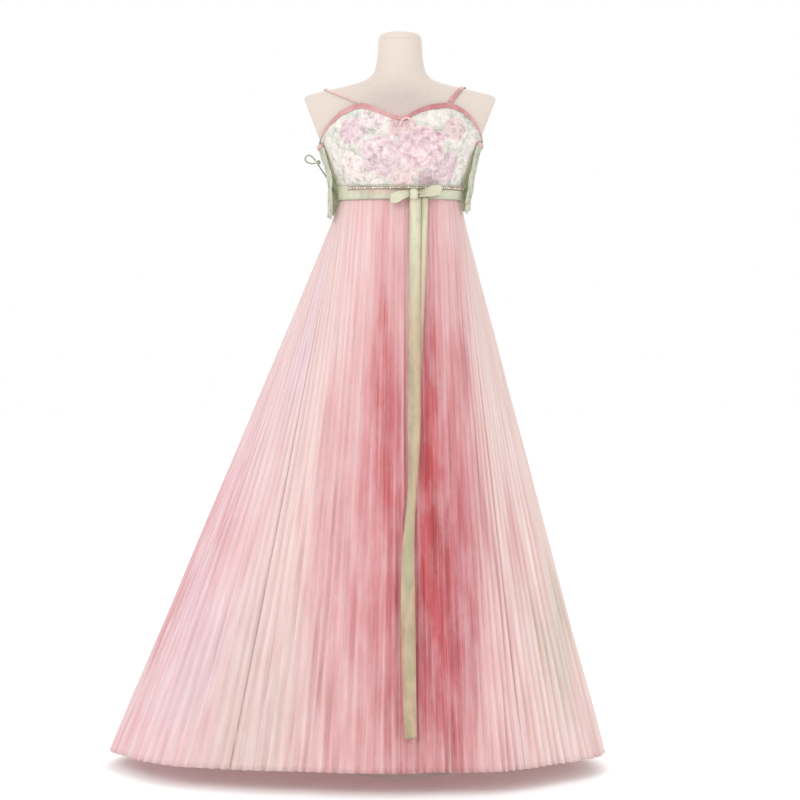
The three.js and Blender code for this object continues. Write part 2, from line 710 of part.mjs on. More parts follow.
function buildStraps(group) {
  for (const strap of STRAPS) {
    const route = [
      ...strap.front.map(([x, z]) => [x, formDepth(x, z, -1, STRAP_CLEAR) - STRAP_LIFT, z]),
      [strap.top[0], 0, strap.top[1]],
      ...strap.back.map(([x, z]) => [x, formDepth(x, z, 1, STRAP_CLEAR) + STRAP_LIFT, z]),
    ];
    const curve = smoothLine(route);
    const middle = new THREE.Vector3(strap.top[0] * SHOULDER.share, SHOULDER.y, SHOULDER.z);
    const rows = range(STRAP_STEPS).map((s) => {
      const p = curve.getPoint(s);
      const along = curve.getTangent(s);
      const up = p.clone().sub(middle).normalize();
      const across = new THREE.Vector3().crossVectors(along, up).normalize();
      return { p, across, up: new THREE.Vector3().crossVectors(across, along).normalize() };
    });
    const grid = (out) => rows.map(({ p, across, up }) => [1, 0, -1].map((v) => (
      p.clone().addScaledVector(across, v * strap.width / 2).addScaledVector(up, out).toArray()
    )));
    add(group, strap.name, wall(grid(RIBBON_WALL), grid(0)), strap.color, SATIN);
  }
}

// Side tie: a knot, one loop and one free end of thin cord
const CORD_SIDES = 8;
const LOOP_CORD_STEPS = 20;
const END_CORD_STEPS = 10;
const CORD_ROUGHNESS = 0.7;

function cordTube(route, steps) {
  const curve = smoothLine(route);
  const section = new THREE.Shape();
  for (let i = 0; i < CORD_SIDES; i += 1) {
    const turn = (2 * Math.PI * i) / CORD_SIDES;
    const x = (TIE_CORD_DIAMETER / 2) * Math.cos(turn);
    const y = (TIE_CORD_DIAMETER / 2) * Math.sin(turn);
    if (i === 0) section.moveTo(x, y);
    else section.lineTo(x, y);
  }
  return new THREE.ExtrudeGeometry(section, { steps, extrudePath: curve, bevelEnabled: false });
}

function buildSideTie(group) {
  const ball = new THREE.SphereGeometry(TIE_KNOT.radius, 12, 8);
  const knot = add(group, 'tie_knot', ball, COLORS.cord, CORD_ROUGHNESS);
  knot.position.set(TIE_KNOT.x, TIE_KNOT.y, TIE_KNOT.z);
  const loop = cordTube(TIE_LOOP_ROUTE, LOOP_CORD_STEPS);
  const end = cordTube(TIE_END_ROUTE, END_CORD_STEPS);
  add(group, 'tie_loop', loop, COLORS.cord, CORD_ROUGHNESS);
  add(group, 'tie_end', end, COLORS.cord, CORD_ROUGHNESS);
}

const dress = new THREE.Group();
buildForm(dress);
buildStand(dress);
buildBodiceFront(dress);
buildBackPanel(dress);
buildSkirt(dress);
buildBelt(dress);
buildBow(dress);
buildStraps(dress);
buildSideTie(dress);

export default dress;
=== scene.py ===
"""A pleated strap dress on a limbless dress form, with its bow, beads and stand.

Shapes are worked out in millimetres in the CAD frame (+Z up, the front faces -Y) and
scaled to metres when each mesh is made.
"""
import math

import bpy
import numpy as np
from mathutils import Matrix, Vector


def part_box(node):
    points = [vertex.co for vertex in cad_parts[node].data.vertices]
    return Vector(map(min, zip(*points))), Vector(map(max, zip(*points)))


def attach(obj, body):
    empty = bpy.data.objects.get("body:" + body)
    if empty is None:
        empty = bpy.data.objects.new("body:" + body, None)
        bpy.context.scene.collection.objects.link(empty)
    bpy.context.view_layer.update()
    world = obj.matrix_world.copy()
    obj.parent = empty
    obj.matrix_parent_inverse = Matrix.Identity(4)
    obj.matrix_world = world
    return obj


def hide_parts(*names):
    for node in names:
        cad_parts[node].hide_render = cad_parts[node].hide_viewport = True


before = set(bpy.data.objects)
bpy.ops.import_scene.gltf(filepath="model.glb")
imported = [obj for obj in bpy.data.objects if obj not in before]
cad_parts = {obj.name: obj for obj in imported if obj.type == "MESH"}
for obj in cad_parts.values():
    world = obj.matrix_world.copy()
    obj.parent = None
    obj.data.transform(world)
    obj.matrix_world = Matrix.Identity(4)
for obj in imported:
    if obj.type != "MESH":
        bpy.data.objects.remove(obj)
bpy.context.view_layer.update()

MM = 0.001
ROOT = "root"


# ---------------------------------------------------------------- tables and curves
def table(columns, rows):
    """A short table with named columns, as arrays."""
    return {name: np.array(values, float) for name, values in zip(columns.split(), zip(*rows))}


def smooth(rows, key, column, at):
    """A column's value between the rows: monotone cubic, with no overshoot."""
    x, y = rows[key], rows[column]
    at = np.clip(np.asarray(at, float), x[0], x[-1])
    step = np.diff(x)
    slope = np.diff(y) / step
    tangent = np.zeros_like(y)
    tangent[0], tangent[-1] = slope[0], slope[-1]
    heavy, light = 2 * step[1:] + step[:-1], step[1:] + 2 * step[:-1]
    for i in range(1, len(y) - 1):
        before, after = slope[i - 1], slope[i]
        if before * after > 0:
            tangent[i] = (heavy[i - 1] + light[i - 1]) / (heavy[i - 1] / before + light[i - 1] / after)
    i = np.clip(np.searchsorted(x, at, side="right") - 1, 0, len(step) - 1)
    s = (at - x[i]) / step[i]
    r = 1 - s
    return (
        (1 + 2 * s) * r * r * y[i] + s * r * r * step[i] * tangent[i]
        + s * s * (3 - 2 * s) * y[i + 1] - s * s * r * step[i] * tangent[i + 1]
    )


def ease(value, low=0.0, high=1.0):
    """0 below low, 1 above high, smooth between."""
    s = np.clip((value - low) / (high - low), 0, 1)
    return s * s * (3 - 2 * s)


def ripple(at, seed, waves=5, slow=1.0):
    """A repeatable uneven wave of about unit height."""
    draw = np.random.default_rng(seed)
    total = 0
    for k in range(waves):
        turns = slow * (1 + k * draw.uniform(0.7, 1.3))
        total = total + math.sqrt(2 / waves) * np.sin(2 * math.pi * (turns * at + draw.uniform()))
    return total


# ---------------------------------------------------------------- sizes shared with the CAD
FORM_BOTTOM, FORM_TOP, NECK_CAP_SEAM = 822, 1478, 1462
FORM = table("z half front back", [
    (822, 152, 92, 104), (870, 157, 96, 112), (920, 151, 94, 106), (980, 128, 86, 88),
    (1050, 109, 79, 79), (1100, 110, 80, 81), (1155, 115, 82, 84), (1200, 131, 91, 95),
    (1230, 142, 97, 102), (1250, 153, 97, 104), (1285, 176, 88, 102), (1315, 190, 74, 90),
    (1338, 196, 62, 72), (1350, 186, 54, 60), (1358, 160, 49, 53), (1366, 124, 46, 50),
    (1375, 88, 45, 48), (1386, 62, 44, 46), (1402, 50, 43, 44), (1430, 45, 41, 42),
    (1462, 43, 40, 40), (1472, 38, 36, 36), (1478, 18, 17, 17),
])
BUST_X, BUST_Z, BUST_RISE, BUST_WIDTH, BUST_HEIGHT = 74, 1232, 27, 50, 44
STUMP_BOTTOM, STUMP_HALF, STUMP_SLOPE, STUMP_ROUND = 1249, 155, 0.38, 2.5

NECKLINE = table("angle z", [
    (-90, 1252), (-80, 1266), (-57, 1298), (-43, 1319), (-28, 1330), (-18, 1322), (-9, 1311),
    (2, 1301), (10, 1314), (22, 1327), (35, 1331), (48, 1321), (63, 1298), (80, 1272), (90, 1258),
])
NECK_DIP, SIDE_ANGLE, BODICE_EASE, CLOTH_WALL = 2, 88, 4, 1.2
BELT_TOP, BELT_BOTTOM, WAIST_SEAM = 1170, 1143, 1155
BELT_HALF, BELT_DEPTH, BELT_WALL = 122.4, 90.2, 1.5

BACK_PANEL = table("z left right back", [
    (1100, 142, 138, 117), (1130, 141, 137, 114), (1165, 142, 144, 112), (1200, 147, 150, 112),
    (1230, 157, 157, 113), (1258, 166, 166, 114),
])
BACK_PANEL_FRONT_DEPTH, BACK_PANEL_REACH = 105, 112
BACK_EDGES = table("angle bottom top", [
    (-110, 1104, 1252), (-80, 1113, 1247), (-40, 1118, 1240), (0, 1118, 1236),
    (40, 1120, 1240), (80, 1124, 1250), (110, 1116, 1256),
])

PLEATS = 124
FAN = table("pleat waist hem", [
    (0, -180, -180), (28, -110, -96), (46, -77, -34), (62, 0, 0),
    (78, 77, 36), (96, 110, 96), (124, 180, 180),
])
WAIST_HALF, WAIST_FRONT, WAIST_BACK = 120.2, 87.6, 89.6
HEM_LEFT, HEM_RIGHT, HEM_FRONT, HEM_BACK = 588, 410, 262, 350
HEM_MIDDLE_HEIGHT, HEM_HEIGHT_SWING = 32.5, 12.5
WAIST_PLEAT_DEPTH, HEM_PLEAT_DEPTH = 1.6, 10
SKIRT_PANELS = [
    ("skirt_back_left", 0, 28), ("skirt_side_left", 28, 46), ("skirt_front", 46, 78),
    ("skirt_side_right", 78, 96), ("skirt_back_right", 96, 124),
]
FRONT_PANEL = SKIRT_PANELS[2]
SKIRT_FOLDS = table("hem spread out", [
    (-158, 12, 14), (-128, 11, -12), (-104, 9, 12), (-71, 8, -10), (-47, 7, 9), (-19, 6, -8),
    (9, 5, -9), (27, 6, 8), (49, 8, -9), (74, 8, 8), (112, 11, -12), (146, 12, 13),
])


# ---------------------------------------------------------------- colours
RETURNED_LIGHT = 0.87     # a colour's share of the studio's light at full front


def srgb(red, green, blue):
    """A surface colour that the studio light brings to these 0 to 255 screen values."""
    parts = np.array([red, green, blue]) / 255
    linear = np.where(parts <= 0.04045, parts / 12.92, ((parts + 0.055) / 1.055) ** 2.4)
    return tuple(float(v) * RETURNED_LIGHT for v in linear)


CREAM, PEACH, BLUSH = srgb(252, 231, 225), srgb(253, 220, 213), srgb(252, 214, 212)
PALE_PEACH, CRIMSON = srgb(255, 234, 228), srgb(206, 30, 50)
DUSTY, ROSE, DEEP = srgb(236, 162, 168), srgb(220, 104, 116), srgb(212, 44, 62)
LAVENDER, LILAC_GREY = srgb(253, 216, 226), srgb(240, 216, 230)
GREY_CREAM, GREY_GREEN, MAUVE_RED = srgb(240, 220, 212), srgb(232, 222, 206), srgb(204, 84, 108)
SAGE, SAGE_DARK, SAGE_PALE = srgb(200, 205, 178), srgb(163, 168, 142), srgb(222, 222, 202)
TAIL_PALE = srgb(212, 215, 186)
TAIL_GREEN, TAIL_CREAM, TAIL_TAN = srgb(164, 160, 126), srgb(210, 188, 158), srgb(178, 138, 112)
PAINTED_EDGE_LIGHT_MINT, MAUVE_MIST, MAUVE_CORE = srgb(248, 250, 234), srgb(226, 208, 210), srgb(204, 168, 184)
GLINT, BOW_SAGE = srgb(255, 240, 240), srgb(206, 202, 174)
MINT, MINT_DEEP, IVORY = srgb(212, 217, 205), srgb(182, 191, 175), srgb(246, 238, 230)
TAUPE_PINK, JACQUARD = srgb(206, 176, 164), srgb(217, 222, 199)
PINK_PETAL, MAUVE_PETAL, PEACH_PETAL = srgb(226, 190, 200), srgb(186, 152, 170), srgb(230, 194, 186)
PLUM, PETAL_DEEP = srgb(150, 104, 122), srgb(200, 142, 158)
SATIN_ROSE, SATIN_ROSE_DEEP, SATIN_BLUSH = srgb(202, 138, 140), srgb(172, 96, 104), srgb(226, 186, 182)
FORM_CREAM, FORM_SHADE, FORM_TAUPE = srgb(217, 203, 192), srgb(209, 193, 182), srgb(188, 172, 165)


def lay(colour, tone, share):
    """A tone laid over a colour by a share at each point."""
    return colour + (np.array(tone) - colour) * np.asarray(share)[..., None]


# ---------------------------------------------------------------- mesh making
def outward(grid):
    """Unit normals of a grid whose rows run down and columns run to the right, seen from outside."""
    down = np.gradient(grid, axis=0)
    right = np.gradient(grid, axis=1)
    normal = np.cross(down, right)
    return normal / np.maximum(np.linalg.norm(normal, axis=2, keepdims=True), 1e-9)


def shell_faces(rows, columns):
    """Quads of a closed wall: an outer grid, then an inner grid of the same size."""
    index = np.arange(rows * columns).reshape(rows, columns)
    a, b, c, d = index[:-1, :-1], index[1:, :-1], index[1:, 1:], index[:-1, 1:]
    n = rows * columns
    sides = [np.stack([a, b, c, d], -1).reshape(-1, 4), np.stack([a, d, c, b], -1).reshape(-1, 4) + n]
    for line, flip in ((index[0], False), (index[-1], True), (index[:, 0], True), (index[:, -1], False)):
        p, q = (line[1:], line[:-1]) if flip else (line[:-1], line[1:])
        sides.append(np.stack([p, q, q + n, p + n], -1))
    return np.concatenate(sides)


def tube_faces(rings, around):
    """Faces of closed rings, joined one to the next, with one face across each end."""
    index = np.arange(rings * around).reshape(rings, around)
    turned = np.roll(index, -1, axis=1)
    quads = np.stack([index[:-1], index[1:], turned[1:], turned[:-1]], -1).reshape(-1, 4).tolist()
    return quads + [index[0].tolist(), index[-1][::-1].tolist()]


def make_object(name, points, faces, material, uv=None, colours=None):
    """A smooth-shaded mesh object from points in millimetres."""
    mesh = bpy.data.meshes.new(name)
    faces = faces.tolist() if isinstance(faces, np.ndarray) else faces
    mesh.from_pydata((np.asarray(points).reshape(-1, 3) * MM).tolist(), [], faces)
    mesh.polygons.foreach_set("use_smooth", [True] * len(mesh.polygons))
    corners = np.empty(len(mesh.loops), int)
    mesh.loops.foreach_get("vertex_index", corners)
    if uv is not None:
        layer = mesh.uv_layers.new(name="UVMap")
        layer.data.foreach_set("uv", np.asarray(uv, float).reshape(-1, 2)[corners].ravel())
    if colours is not None:
        flat = np.asarray(colours, float).reshape(-1, 3)
        rgba = np.concatenate([flat, np.ones((len(flat), 1))], axis=1)
        mesh.color_attributes.new("Tint", "FLOAT_COLOR", "POINT").data.foreach_set("color", rgba.ravel())
    mesh.materials.append(material)
    mesh.update()
    made = bpy.data.objects.new(name, mesh)
    bpy.context.scene.collection.objects.link(made)
    return made


def make_shell(name, grid, wall, material, uv, colours=None):
    """A thin closed cloth wall whose middle is the grid."""
    push = outward(grid) * wall / 2
    rows, columns = grid.shape[:2]
    points = np.stack([grid + push, grid - push])
    both = np.stack([uv, uv])
    tint = None if colours is None else np.stack([colours, colours])
    return make_object(name, points, shell_faces(rows, columns), material, both, tint)


def place(piece, slot, *nodes):
    """The piece rides on the one body and stands for its CAD nodes; the slot is not used."""
    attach(piece, ROOT)
    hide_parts(*nodes)


# ---------------------------------------------------------------- materials
class Shader:
    """A procedural material, built by short calls."""

    def __init__(self, name, **principled):
        self.material = bpy.data.materials.new(name)
        self.material.use_nodes = True
        self.tree = self.material.node_tree
        self.bsdf = self.tree.nodes["Principled BSDF"]
        for socket, value in principled.items():
            self.bsdf.inputs[socket.replace("_", " ")].default_value = value

    def node(self, kind, inputs=None, **settings):
        made = self.tree.nodes.new("ShaderNode" + kind)
        for key, value in settings.items():
            setattr(made, key, value)
        for key, value in (inputs or {}).items():
            self.feed(made.inputs[key], value)
        return made

    def feed(self, socket, value):
        if isinstance(value, bpy.types.NodeSocket):
            self.tree.links.new(value, socket)
        elif isinstance(value, tuple) and len(value) == 3 and socket.type == "RGBA":
            socket.default_value = (*value, 1)
        else:
            socket.default_value = value

    def uv(self, scale=(1, 1, 1)):
        source = self.node("TexCoord").outputs["UV"]
        return self.node("Mapping", {"Vector": source, "Scale": scale}).outputs["Vector"]

    def space(self, scale=(1, 1, 1)):
        source = self.node("TexCoord").outputs["Object"]
        return self.node("Mapping", {"Vector": source, "Scale": scale}).outputs["Vector"]

    def noise(self, vector, scale, detail=2.0, roughness=0.5):
        made = self.node("TexNoise", {"Vector": vector, "Scale": scale, "Detail": detail,
                                      "Roughness": roughness})
        return made.outputs["Fac"]

    def wave(self, vector, scale, direction="X", distortion=0.0):
        made = self.node("TexWave", {"Vector": vector, "Scale": scale, "Distortion": distortion},
                         bands_direction=direction)
        return made.outputs["Fac"]

    def maths(self, operation, a, b):
        return self.node("Math", {0: a, 1: b}, operation=operation).outputs[0]

    def band(self, value, low, high, to_low=0.0, to_high=1.0):
        made = self.node("MapRange", {"Value": value, "From Min": low, "From Max": high,
                                      "To Min": to_low, "To Max": to_high}, clamp=True)
        return made.outputs["Result"]

    def mix(self, factor, a, b, blend="MIX"):
        made = self.node("Mix", {0: factor, 6: a, 7: b}, data_type="RGBA", blend_type=blend)
        return made.outputs[2]

    def tint(self):
        return self.node("VertexColor", layer_name="Tint").outputs["Color"]

    def bump(self, height, strength, distance, normal=None):
        inputs = {"Height": height, "Strength": strength, "Distance": distance}
        if normal is not None:
            inputs["Normal"] = normal
        return self.node("Bump", inputs).outputs["Normal"]

    def finish(self, colour=None, roughness=None, normal=None):
        for socket, value in (("Base Color", colour), ("Roughness", roughness), ("Normal", normal)):
            if value is not None:
                self.feed(self.bsdf.inputs[socket], value)
        return self.material

    def glow_through(self, colour, normal, share):
        """Let some light through the cloth."""
        through = self.node("BsdfTranslucent", {"Color": colour, "Normal": normal})
        mixed = self.node("MixShader", {0: share, 1: self.bsdf.outputs[0], 2: through.outputs[0]})
        self.tree.links.new(mixed.outputs[0], self.tree.nodes["Material Output"].inputs["Surface"])


def weave(shader, vector, threads, strength=0.25, distance=0.0002, normal=None):
    """A plain weave: crossed threads, that many to the unit of the vector."""
    warp = shader.wave(vector, threads, "X")
    weft = shader.wave(vector, threads, "Y")
    return shader.bump(shader.maths("MULTIPLY", warp, weft), strength, distance, normal)


def skirt_material():
    """Dyed chiffon: colour from the dyed tint with its painted glints and pleat shade, paler and deeper
    streaks along the pleats that are painted light and shade of fine pleat lines, crinkles and a soft sheen.
    """
    s = Shader("pleated_chiffon", Roughness=0.62, Sheen_Weight=0.35, Sheen_Roughness=0.45)
    dye_and_painted_light = s.tint()
    pool = s.noise(s.uv((120, 6, 1)), 1.0, 5.0, 0.58)
    dye_and_painted_light = s.node("Gamma", {"Color": dye_and_painted_light, "Gamma": s.band(pool, 0.34, 0.66, 0.72, 1.30)}).outputs[0]
    streaks = s.noise(s.uv((330, 1.6, 1)), 1.0, 4.0, 0.65)
    fine = s.noise(s.uv((1500, 7, 1)), 1.0, 2.0)
    dappled = s.noise(s.uv((46, 9, 1)), 1.0, 5.0, 0.6)
    # painted light and painted shade: paler and deeper streaks stand for the lit ridges and shaded valleys of
    # fine pleat lines
    pale = s.mix(s.band(streaks, 0.52, 0.75, 0, 0.50), dye_and_painted_light, srgb(255, 240, 236))
    deeper = s.mix(s.band(streaks, 0.47, 0.27, 0, 0.34), pale, srgb(220, 140, 154), "MULTIPLY")
    cloud = s.mix(s.band(dappled, 0.45, 0.7, 0.0, 0.30), deeper, srgb(255, 238, 238))
    colour = s.mix(s.band(fine, 0.3, 0.7, 0.0, 0.20), cloud, srgb(255, 248, 246))
    crinkle = s.noise(s.uv((420, 60, 1)), 1.0, 4.0, 0.6)
    normal = s.bump(crinkle, 0.35, 0.0012)
    normal = weave(s, s.space((1, 1, 1)), 900, 0.12, 0.0001, normal)
    s.glow_through(colour, normal, 0.34)
    return s.finish(colour, s.band(streaks, 0.3, 0.7, 0.72, 0.48), normal)


def brocade_material(name, sheen, threads=700, glow=0.0):
    """Satin jacquard: colour from the motifs, painted highlights and painted shade in soft patches, painted
    highlights along the floats, and a fine weave.
    """
    s = Shader(name, Roughness=0.45, Sheen_Weight=sheen, Sheen_Roughness=0.35)
    figure = s.tint()
    floats = s.noise(s.uv((60, 420, 1)), 1.0, 3.0, 0.6)
    # painted highlights and painted shade: soft patches lightened and darkened as if the satin caught the
    # light
    shimmer = s.noise(s.space((75, 75, 75)), 1.0, 5.0, 0.65)
    lit = s.mix(s.band(shimmer, 0.54, 0.72, 0, 0.60), figure, srgb(255, 251, 244))
    shade = s.mix(s.band(shimmer, 0.50, 0.32, 0, 0.75), lit, srgb(184, 182, 178), "MULTIPLY")
    # painted highlights along the floats
    colour = s.mix(s.band(floats, 0.4, 0.75, 0, 0.15), shade, srgb(255, 252, 246))
    normal = s.bump(floats, 0.25, 0.0004)
    normal = weave(s, s.space(), threads, 0.2, 0.00012, normal)
    if glow:
        s.glow_through(colour, normal, glow)
    return s.finish(colour, s.band(shimmer, 0.35, 0.7, 0.58, 0.28), normal)


def satin_material(name, base, dark, light):
    """Satin ribbon in one colour, or in the mesh's own tint if base is None, with painted shade and painted
    sheen that follow its broad bumps, and fine painted glints.
    """
    s = Shader(name, Sheen_Weight=0.25, Sheen_Roughness=0.4, Anisotropic=0.4)
    slow = s.noise(s.space((30, 30, 12)), 1.0, 4.0, 0.6)
    fine = s.noise(s.space((240, 240, 40)), 1.0, 3.0)
    ground = s.tint() if base is None else base
    # painted shade in the broad bumps' hollows and painted sheen on their crowns, then fine painted glints
    toned = s.mix(s.band(slow, 0.5, 0.3, 0, 0.35), ground, dark, "MULTIPLY")
    toned = s.mix(s.band(slow, 0.5, 0.75, 0, 0.55), toned, light)
    colour = s.mix(s.band(fine, 0.35, 0.7, 0, 0.20), toned, light)
    ribs = s.wave(s.space(), 1100, "Z")
    normal = s.bump(ribs, 0.15, 0.0001, s.bump(slow, 0.25, 0.004))
    return s.finish(colour, s.band(fine, 0.3, 0.7, 0.48, 0.32), normal)


def form_material():
    """Cream jersey drawn over the form: a fine knit with a faint shade."""
    s = Shader("cream_jersey", Roughness=0.8, Sheen_Weight=0.3, Sheen_Roughness=0.5)
    cloud = s.noise(s.space((7, 7, 7)), 1.0, 4.0)
    speck = s.noise(s.space((520, 520, 520)), 1.0, 2.0)
    toned = s.mix(s.band(cloud, 0.3, 0.7, 0, 0.5), s.tint(), FORM_SHADE)
    colour = s.mix(s.band(speck, 0.4, 0.75, 0, 0.25), toned, srgb(250, 240, 230))
    wales = s.wave(s.space(), 620, "X", 1.0)
    courses = s.wave(s.space(), 620, "Z", 1.0)
    normal = s.bump(s.maths("MULTIPLY", wales, courses), 0.22, 0.00015)
    return s.finish(colour, s.band(cloud, 0.2, 0.8, 0.74, 0.86), normal)


def metal_material(name, colour, roughness, metallic):
    s = Shader(name, Metallic=metallic)
    scratch = s.noise(s.space((260, 260, 12)), 1.0, 4.0)
    tone = s.mix(s.band(scratch, 0.35, 0.7, 0, 0.18), colour, srgb(150, 146, 140))
    normal = s.bump(scratch, 0.06, 0.0002)
    return s.finish(tone, s.band(scratch, 0.3, 0.7, roughness, roughness + 0.12), normal)


def enamel_material():
    s = Shader("cream_enamel", Coat_Weight=0.25, Coat_Roughness=0.15)
    peel = s.noise(s.space((160, 160, 160)), 1.0, 3.0)
    cloud = s.noise(s.space((9, 9, 9)), 1.0, 3.0)
    tone = s.mix(s.band(cloud, 0.3, 0.7, 0, 0.5), srgb(240, 237, 231), srgb(230, 226, 218))
    return s.finish(tone, s.band(peel, 0.3, 0.7, 0.34, 0.44), s.bump(peel, 0.08, 0.0003))


def bead_material():
    """Beads of champagne, rose and smoke glass, one tone to each bead."""
    s = Shader("glass_beads", Metallic=0.25, Coat_Weight=0.6, Coat_Roughness=0.08)
    cloud = s.noise(s.space((420, 420, 420)), 1.0, 2.0)
    colour = s.mix(s.band(cloud, 0.35, 0.7, 0, 0.35), s.tint(), srgb(250, 244, 236))
    return s.finish(colour, s.band(cloud, 0.3, 0.7, 0.18, 0.34), s.bump(cloud, 0.1, 0.0002))


def cord_material():
    s = Shader("twisted_cord", Roughness=0.7, Sheen_Weight=0.3)
    strands = s.wave(s.uv((1, 1, 1)), 1.0, "DIAGONAL")
    colour = s.mix(s.band(strands, 0.1, 0.9), srgb(146, 156, 132), srgb(194, 200, 174))
    normal = s.bump(strands, 0.7, 0.0005)
    return s.finish(colour, s.band(strands, 0, 1, 0.8, 0.55), normal)


def floor_material():
    s = Shader("studio_floor", Roughness=0.9, Emission_Color=(1, 1, 1, 1), Emission_Strength=0.08)
    faint = s.noise(s.space((3, 3, 3)), 1.0, 3.0)
    return s.finish(s.mix(s.band(faint, 0.3, 0.7), (0.97, 0.97, 0.97), (0.95, 0.95, 0.95)))


# ---------------------------------------------------------------- dress form and stand
def stump_limit(z):
    return np.where(z > STUMP_BOTTOM, STUMP_HALF + STUMP_SLOPE * (z - STUMP_BOTTOM), 1e4)


def bust_rise(x, z):
    up = np.exp(-((z - BUST_Z) / BUST_HEIGHT) ** 2)
    each = np.exp(-((x + BUST_X) / BUST_WIDTH) ** 2) + np.exp(-((x - BUST_X) / BUST_WIDTH) ** 2)
    return BUST_RISE * up * each


def form_depth(x, z, front, grow):
    """How far the form's surface, grown outwards, is from the middle plane."""
    half = smooth(FORM, "z", "half", z) + grow
    bend = np.sqrt(np.clip(1 - (x / half) ** 2, 0, 1))
    ahead = -(smooth(FORM, "z", "front", z) + grow) * bend - bust_rise(x, z) * np.sqrt(bend)
    behind = (smooth(FORM, "z", "back", z) + grow) * bend
    return np.where(front, ahead, behind)


def soft_limit(value, limit, width):
    """The smaller of the two, with a rounded corner."""
    return 0.5 * (value + limit - np.sqrt((value - limit) ** 2 + width ** 2))


def form_rings(levels, around, inset):
    angle = 2 * math.pi * np.arange(around) / around
    z = levels[:, None] + 0 * angle[None]
    half = smooth(FORM, "z", "half", z)
    x = half * np.sin(angle)
    y = form_depth(x, z, np.cos(angle)[None] > 0, 0)
    size = soft_limit(np.abs(x), stump_limit(z), STUMP_ROUND)
    x = np.sign(x) * np.maximum(size, 0)
    x, y = x * inset[:, None], y * inset[:, None]
    return np.stack([x, y, z], -1)


FORM_LEVELS, FORM_AROUND = 260, 160
FORM_EDGE, EDGE_INSET, CAP_GAP = 3.0, 0.002, 0.05     # the rounded rims, and the gap at the cap
CHEST_Z, CHEST_HALF, CHEST_TALL = 1335, 95, 42        # where painted shade darkens the chest to taupe


def build_form(material):
    """The form and its neck cap, with rings spaced evenly along the outline."""
    fine = np.linspace(FORM_BOTTOM, FORM_TOP, 3000)
    run = np.hypot(np.diff(fine), np.diff(smooth(FORM, "z", "half", fine)))
    reach = np.concatenate([[0], np.cumsum(run)])
    levels = np.interp(np.linspace(0, reach[-1], FORM_LEVELS), reach, fine)
    for name, low, high in (
        ("dress_form", FORM_BOTTOM, NECK_CAP_SEAM),
        ("neck_cap", NECK_CAP_SEAM + CAP_GAP, FORM_TOP),
    ):
        part = np.concatenate([[low], levels[(levels > low + 0.5) & (levels < high - 0.5)], [high]])
        rims = 1 - ease(part, low, low + FORM_EDGE) + ease(part, high - FORM_EDGE / 2, high)
        inset = 1 - EDGE_INSET * rims
        rings = form_rings(part, FORM_AROUND, inset)
        faces = tube_faces(len(part), FORM_AROUND)
        x, y, z = rings[..., 0], rings[..., 1], rings[..., 2]
        # painted shade: the front of the chest is darkened to taupe
        chest = np.exp(-(x / CHEST_HALF) ** 2 - ((z - CHEST_Z) / CHEST_TALL) ** 2) * (y < 0)
        shade = lay(np.ones(rings.shape) * np.array(FORM_CREAM), FORM_TAUPE, chest)
        made = make_object("form_" + name, rings, faces, material, None, shade)
        place(made, "form_cover", name)


def lathe(name, profile, centre, material, around=96):
    """A turned solid from (radius, height) pairs, from the bottom up."""
    angle = 2 * math.pi * np.arange(around) / around
    rings = [np.stack([centre[0] + r * np.cos(angle), centre[1] + r * np.sin(angle), 0 * angle + z], -1)
             for r, z in profile]
    return make_object(name, np.array(rings), tube_faces(len(profile), around), material)


BASE_RIM, BASE_CROWN, BASE_BOSS, POLE_BEVEL = 2, 6, 24, 0.6


def build_stand(metal, enamel):
    low, high = (np.array(corner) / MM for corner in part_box("stand_base"))
    middle, radius, thick = (low + high) / 2, (high[0] - low[0]) / 2, high[2] - low[2]
    inner, shoulder = radius - BASE_RIM, radius - BASE_CROWN
    rim = [(inner + BASE_RIM * math.sin(t), BASE_RIM * (1 - math.cos(t)))
           for t in np.linspace(0, math.pi / 2, 6)]
    crown = [(shoulder + BASE_CROWN * math.cos(t), thick - BASE_CROWN + BASE_CROWN * math.sin(t))
             for t in np.linspace(0, math.pi / 2, 9)]
    profile = rim + crown + [(radius / 2, thick), (BASE_BOSS, thick)]
    base = lathe("round_base", profile, middle[:2], enamel, 128)
    place(base, "stand_enamel", "stand_base")
    low, high = (np.array(corner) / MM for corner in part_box("stand_pole"))
    bar = (high[0] - low[0]) / 2
    profile = [(bar - POLE_BEVEL, low[2]), (bar, low[2] + POLE_BEVEL), (bar, high[2] - POLE_BEVEL),
               (bar - POLE_BEVEL, high[2])]
    pole = lathe("steel_pole", profile, (0, 0), metal, 64)
    place(pole, "stand_metal", "stand_pole")


# ---------------------------------------------------------------- skirt
def waist_point(angle):
    turn = np.radians(angle)
    depth = np.where(np.cos(turn) > 0, WAIST_FRONT, WAIST_BACK)
    return np.stack([WAIST_HALF * np.sin(turn), -depth * np.cos(turn), BELT_BOTTOM + 0 * turn], -1)


def hem_point(angle):
    turn = np.radians(angle)
    half = np.where(np.sin(turn) < 0, HEM_LEFT, HEM_RIGHT)
    y = (HEM_BACK - HEM_FRONT) / 2 - (HEM_BACK + HEM_FRONT) / 2 * np.cos(turn)
    return np.stack([half * np.sin(turn), y, HEM_MIDDLE_HEIGHT + HEM_HEIGHT_SWING * np.cos(turn)], -1)


def fold_out(hem_angle, down):
    off = (hem_angle[..., None] - SKIRT_FOLDS["hem"]) / SKIRT_FOLDS["spread"]
    return (SKIRT_FOLDS["out"] * np.exp(-off ** 2)).sum(-1) * down ** 1.4


def skirt_base(pleat, down):
    """The skirt's middle surface with no pleats: straight lines from the waist to the hem."""
    a = waist_point(smooth(FAN, "pleat", "waist", pleat))
    b = hem_point(smooth(FAN, "pleat", "hem", pleat))
    return a + (b - a) * down[..., None]


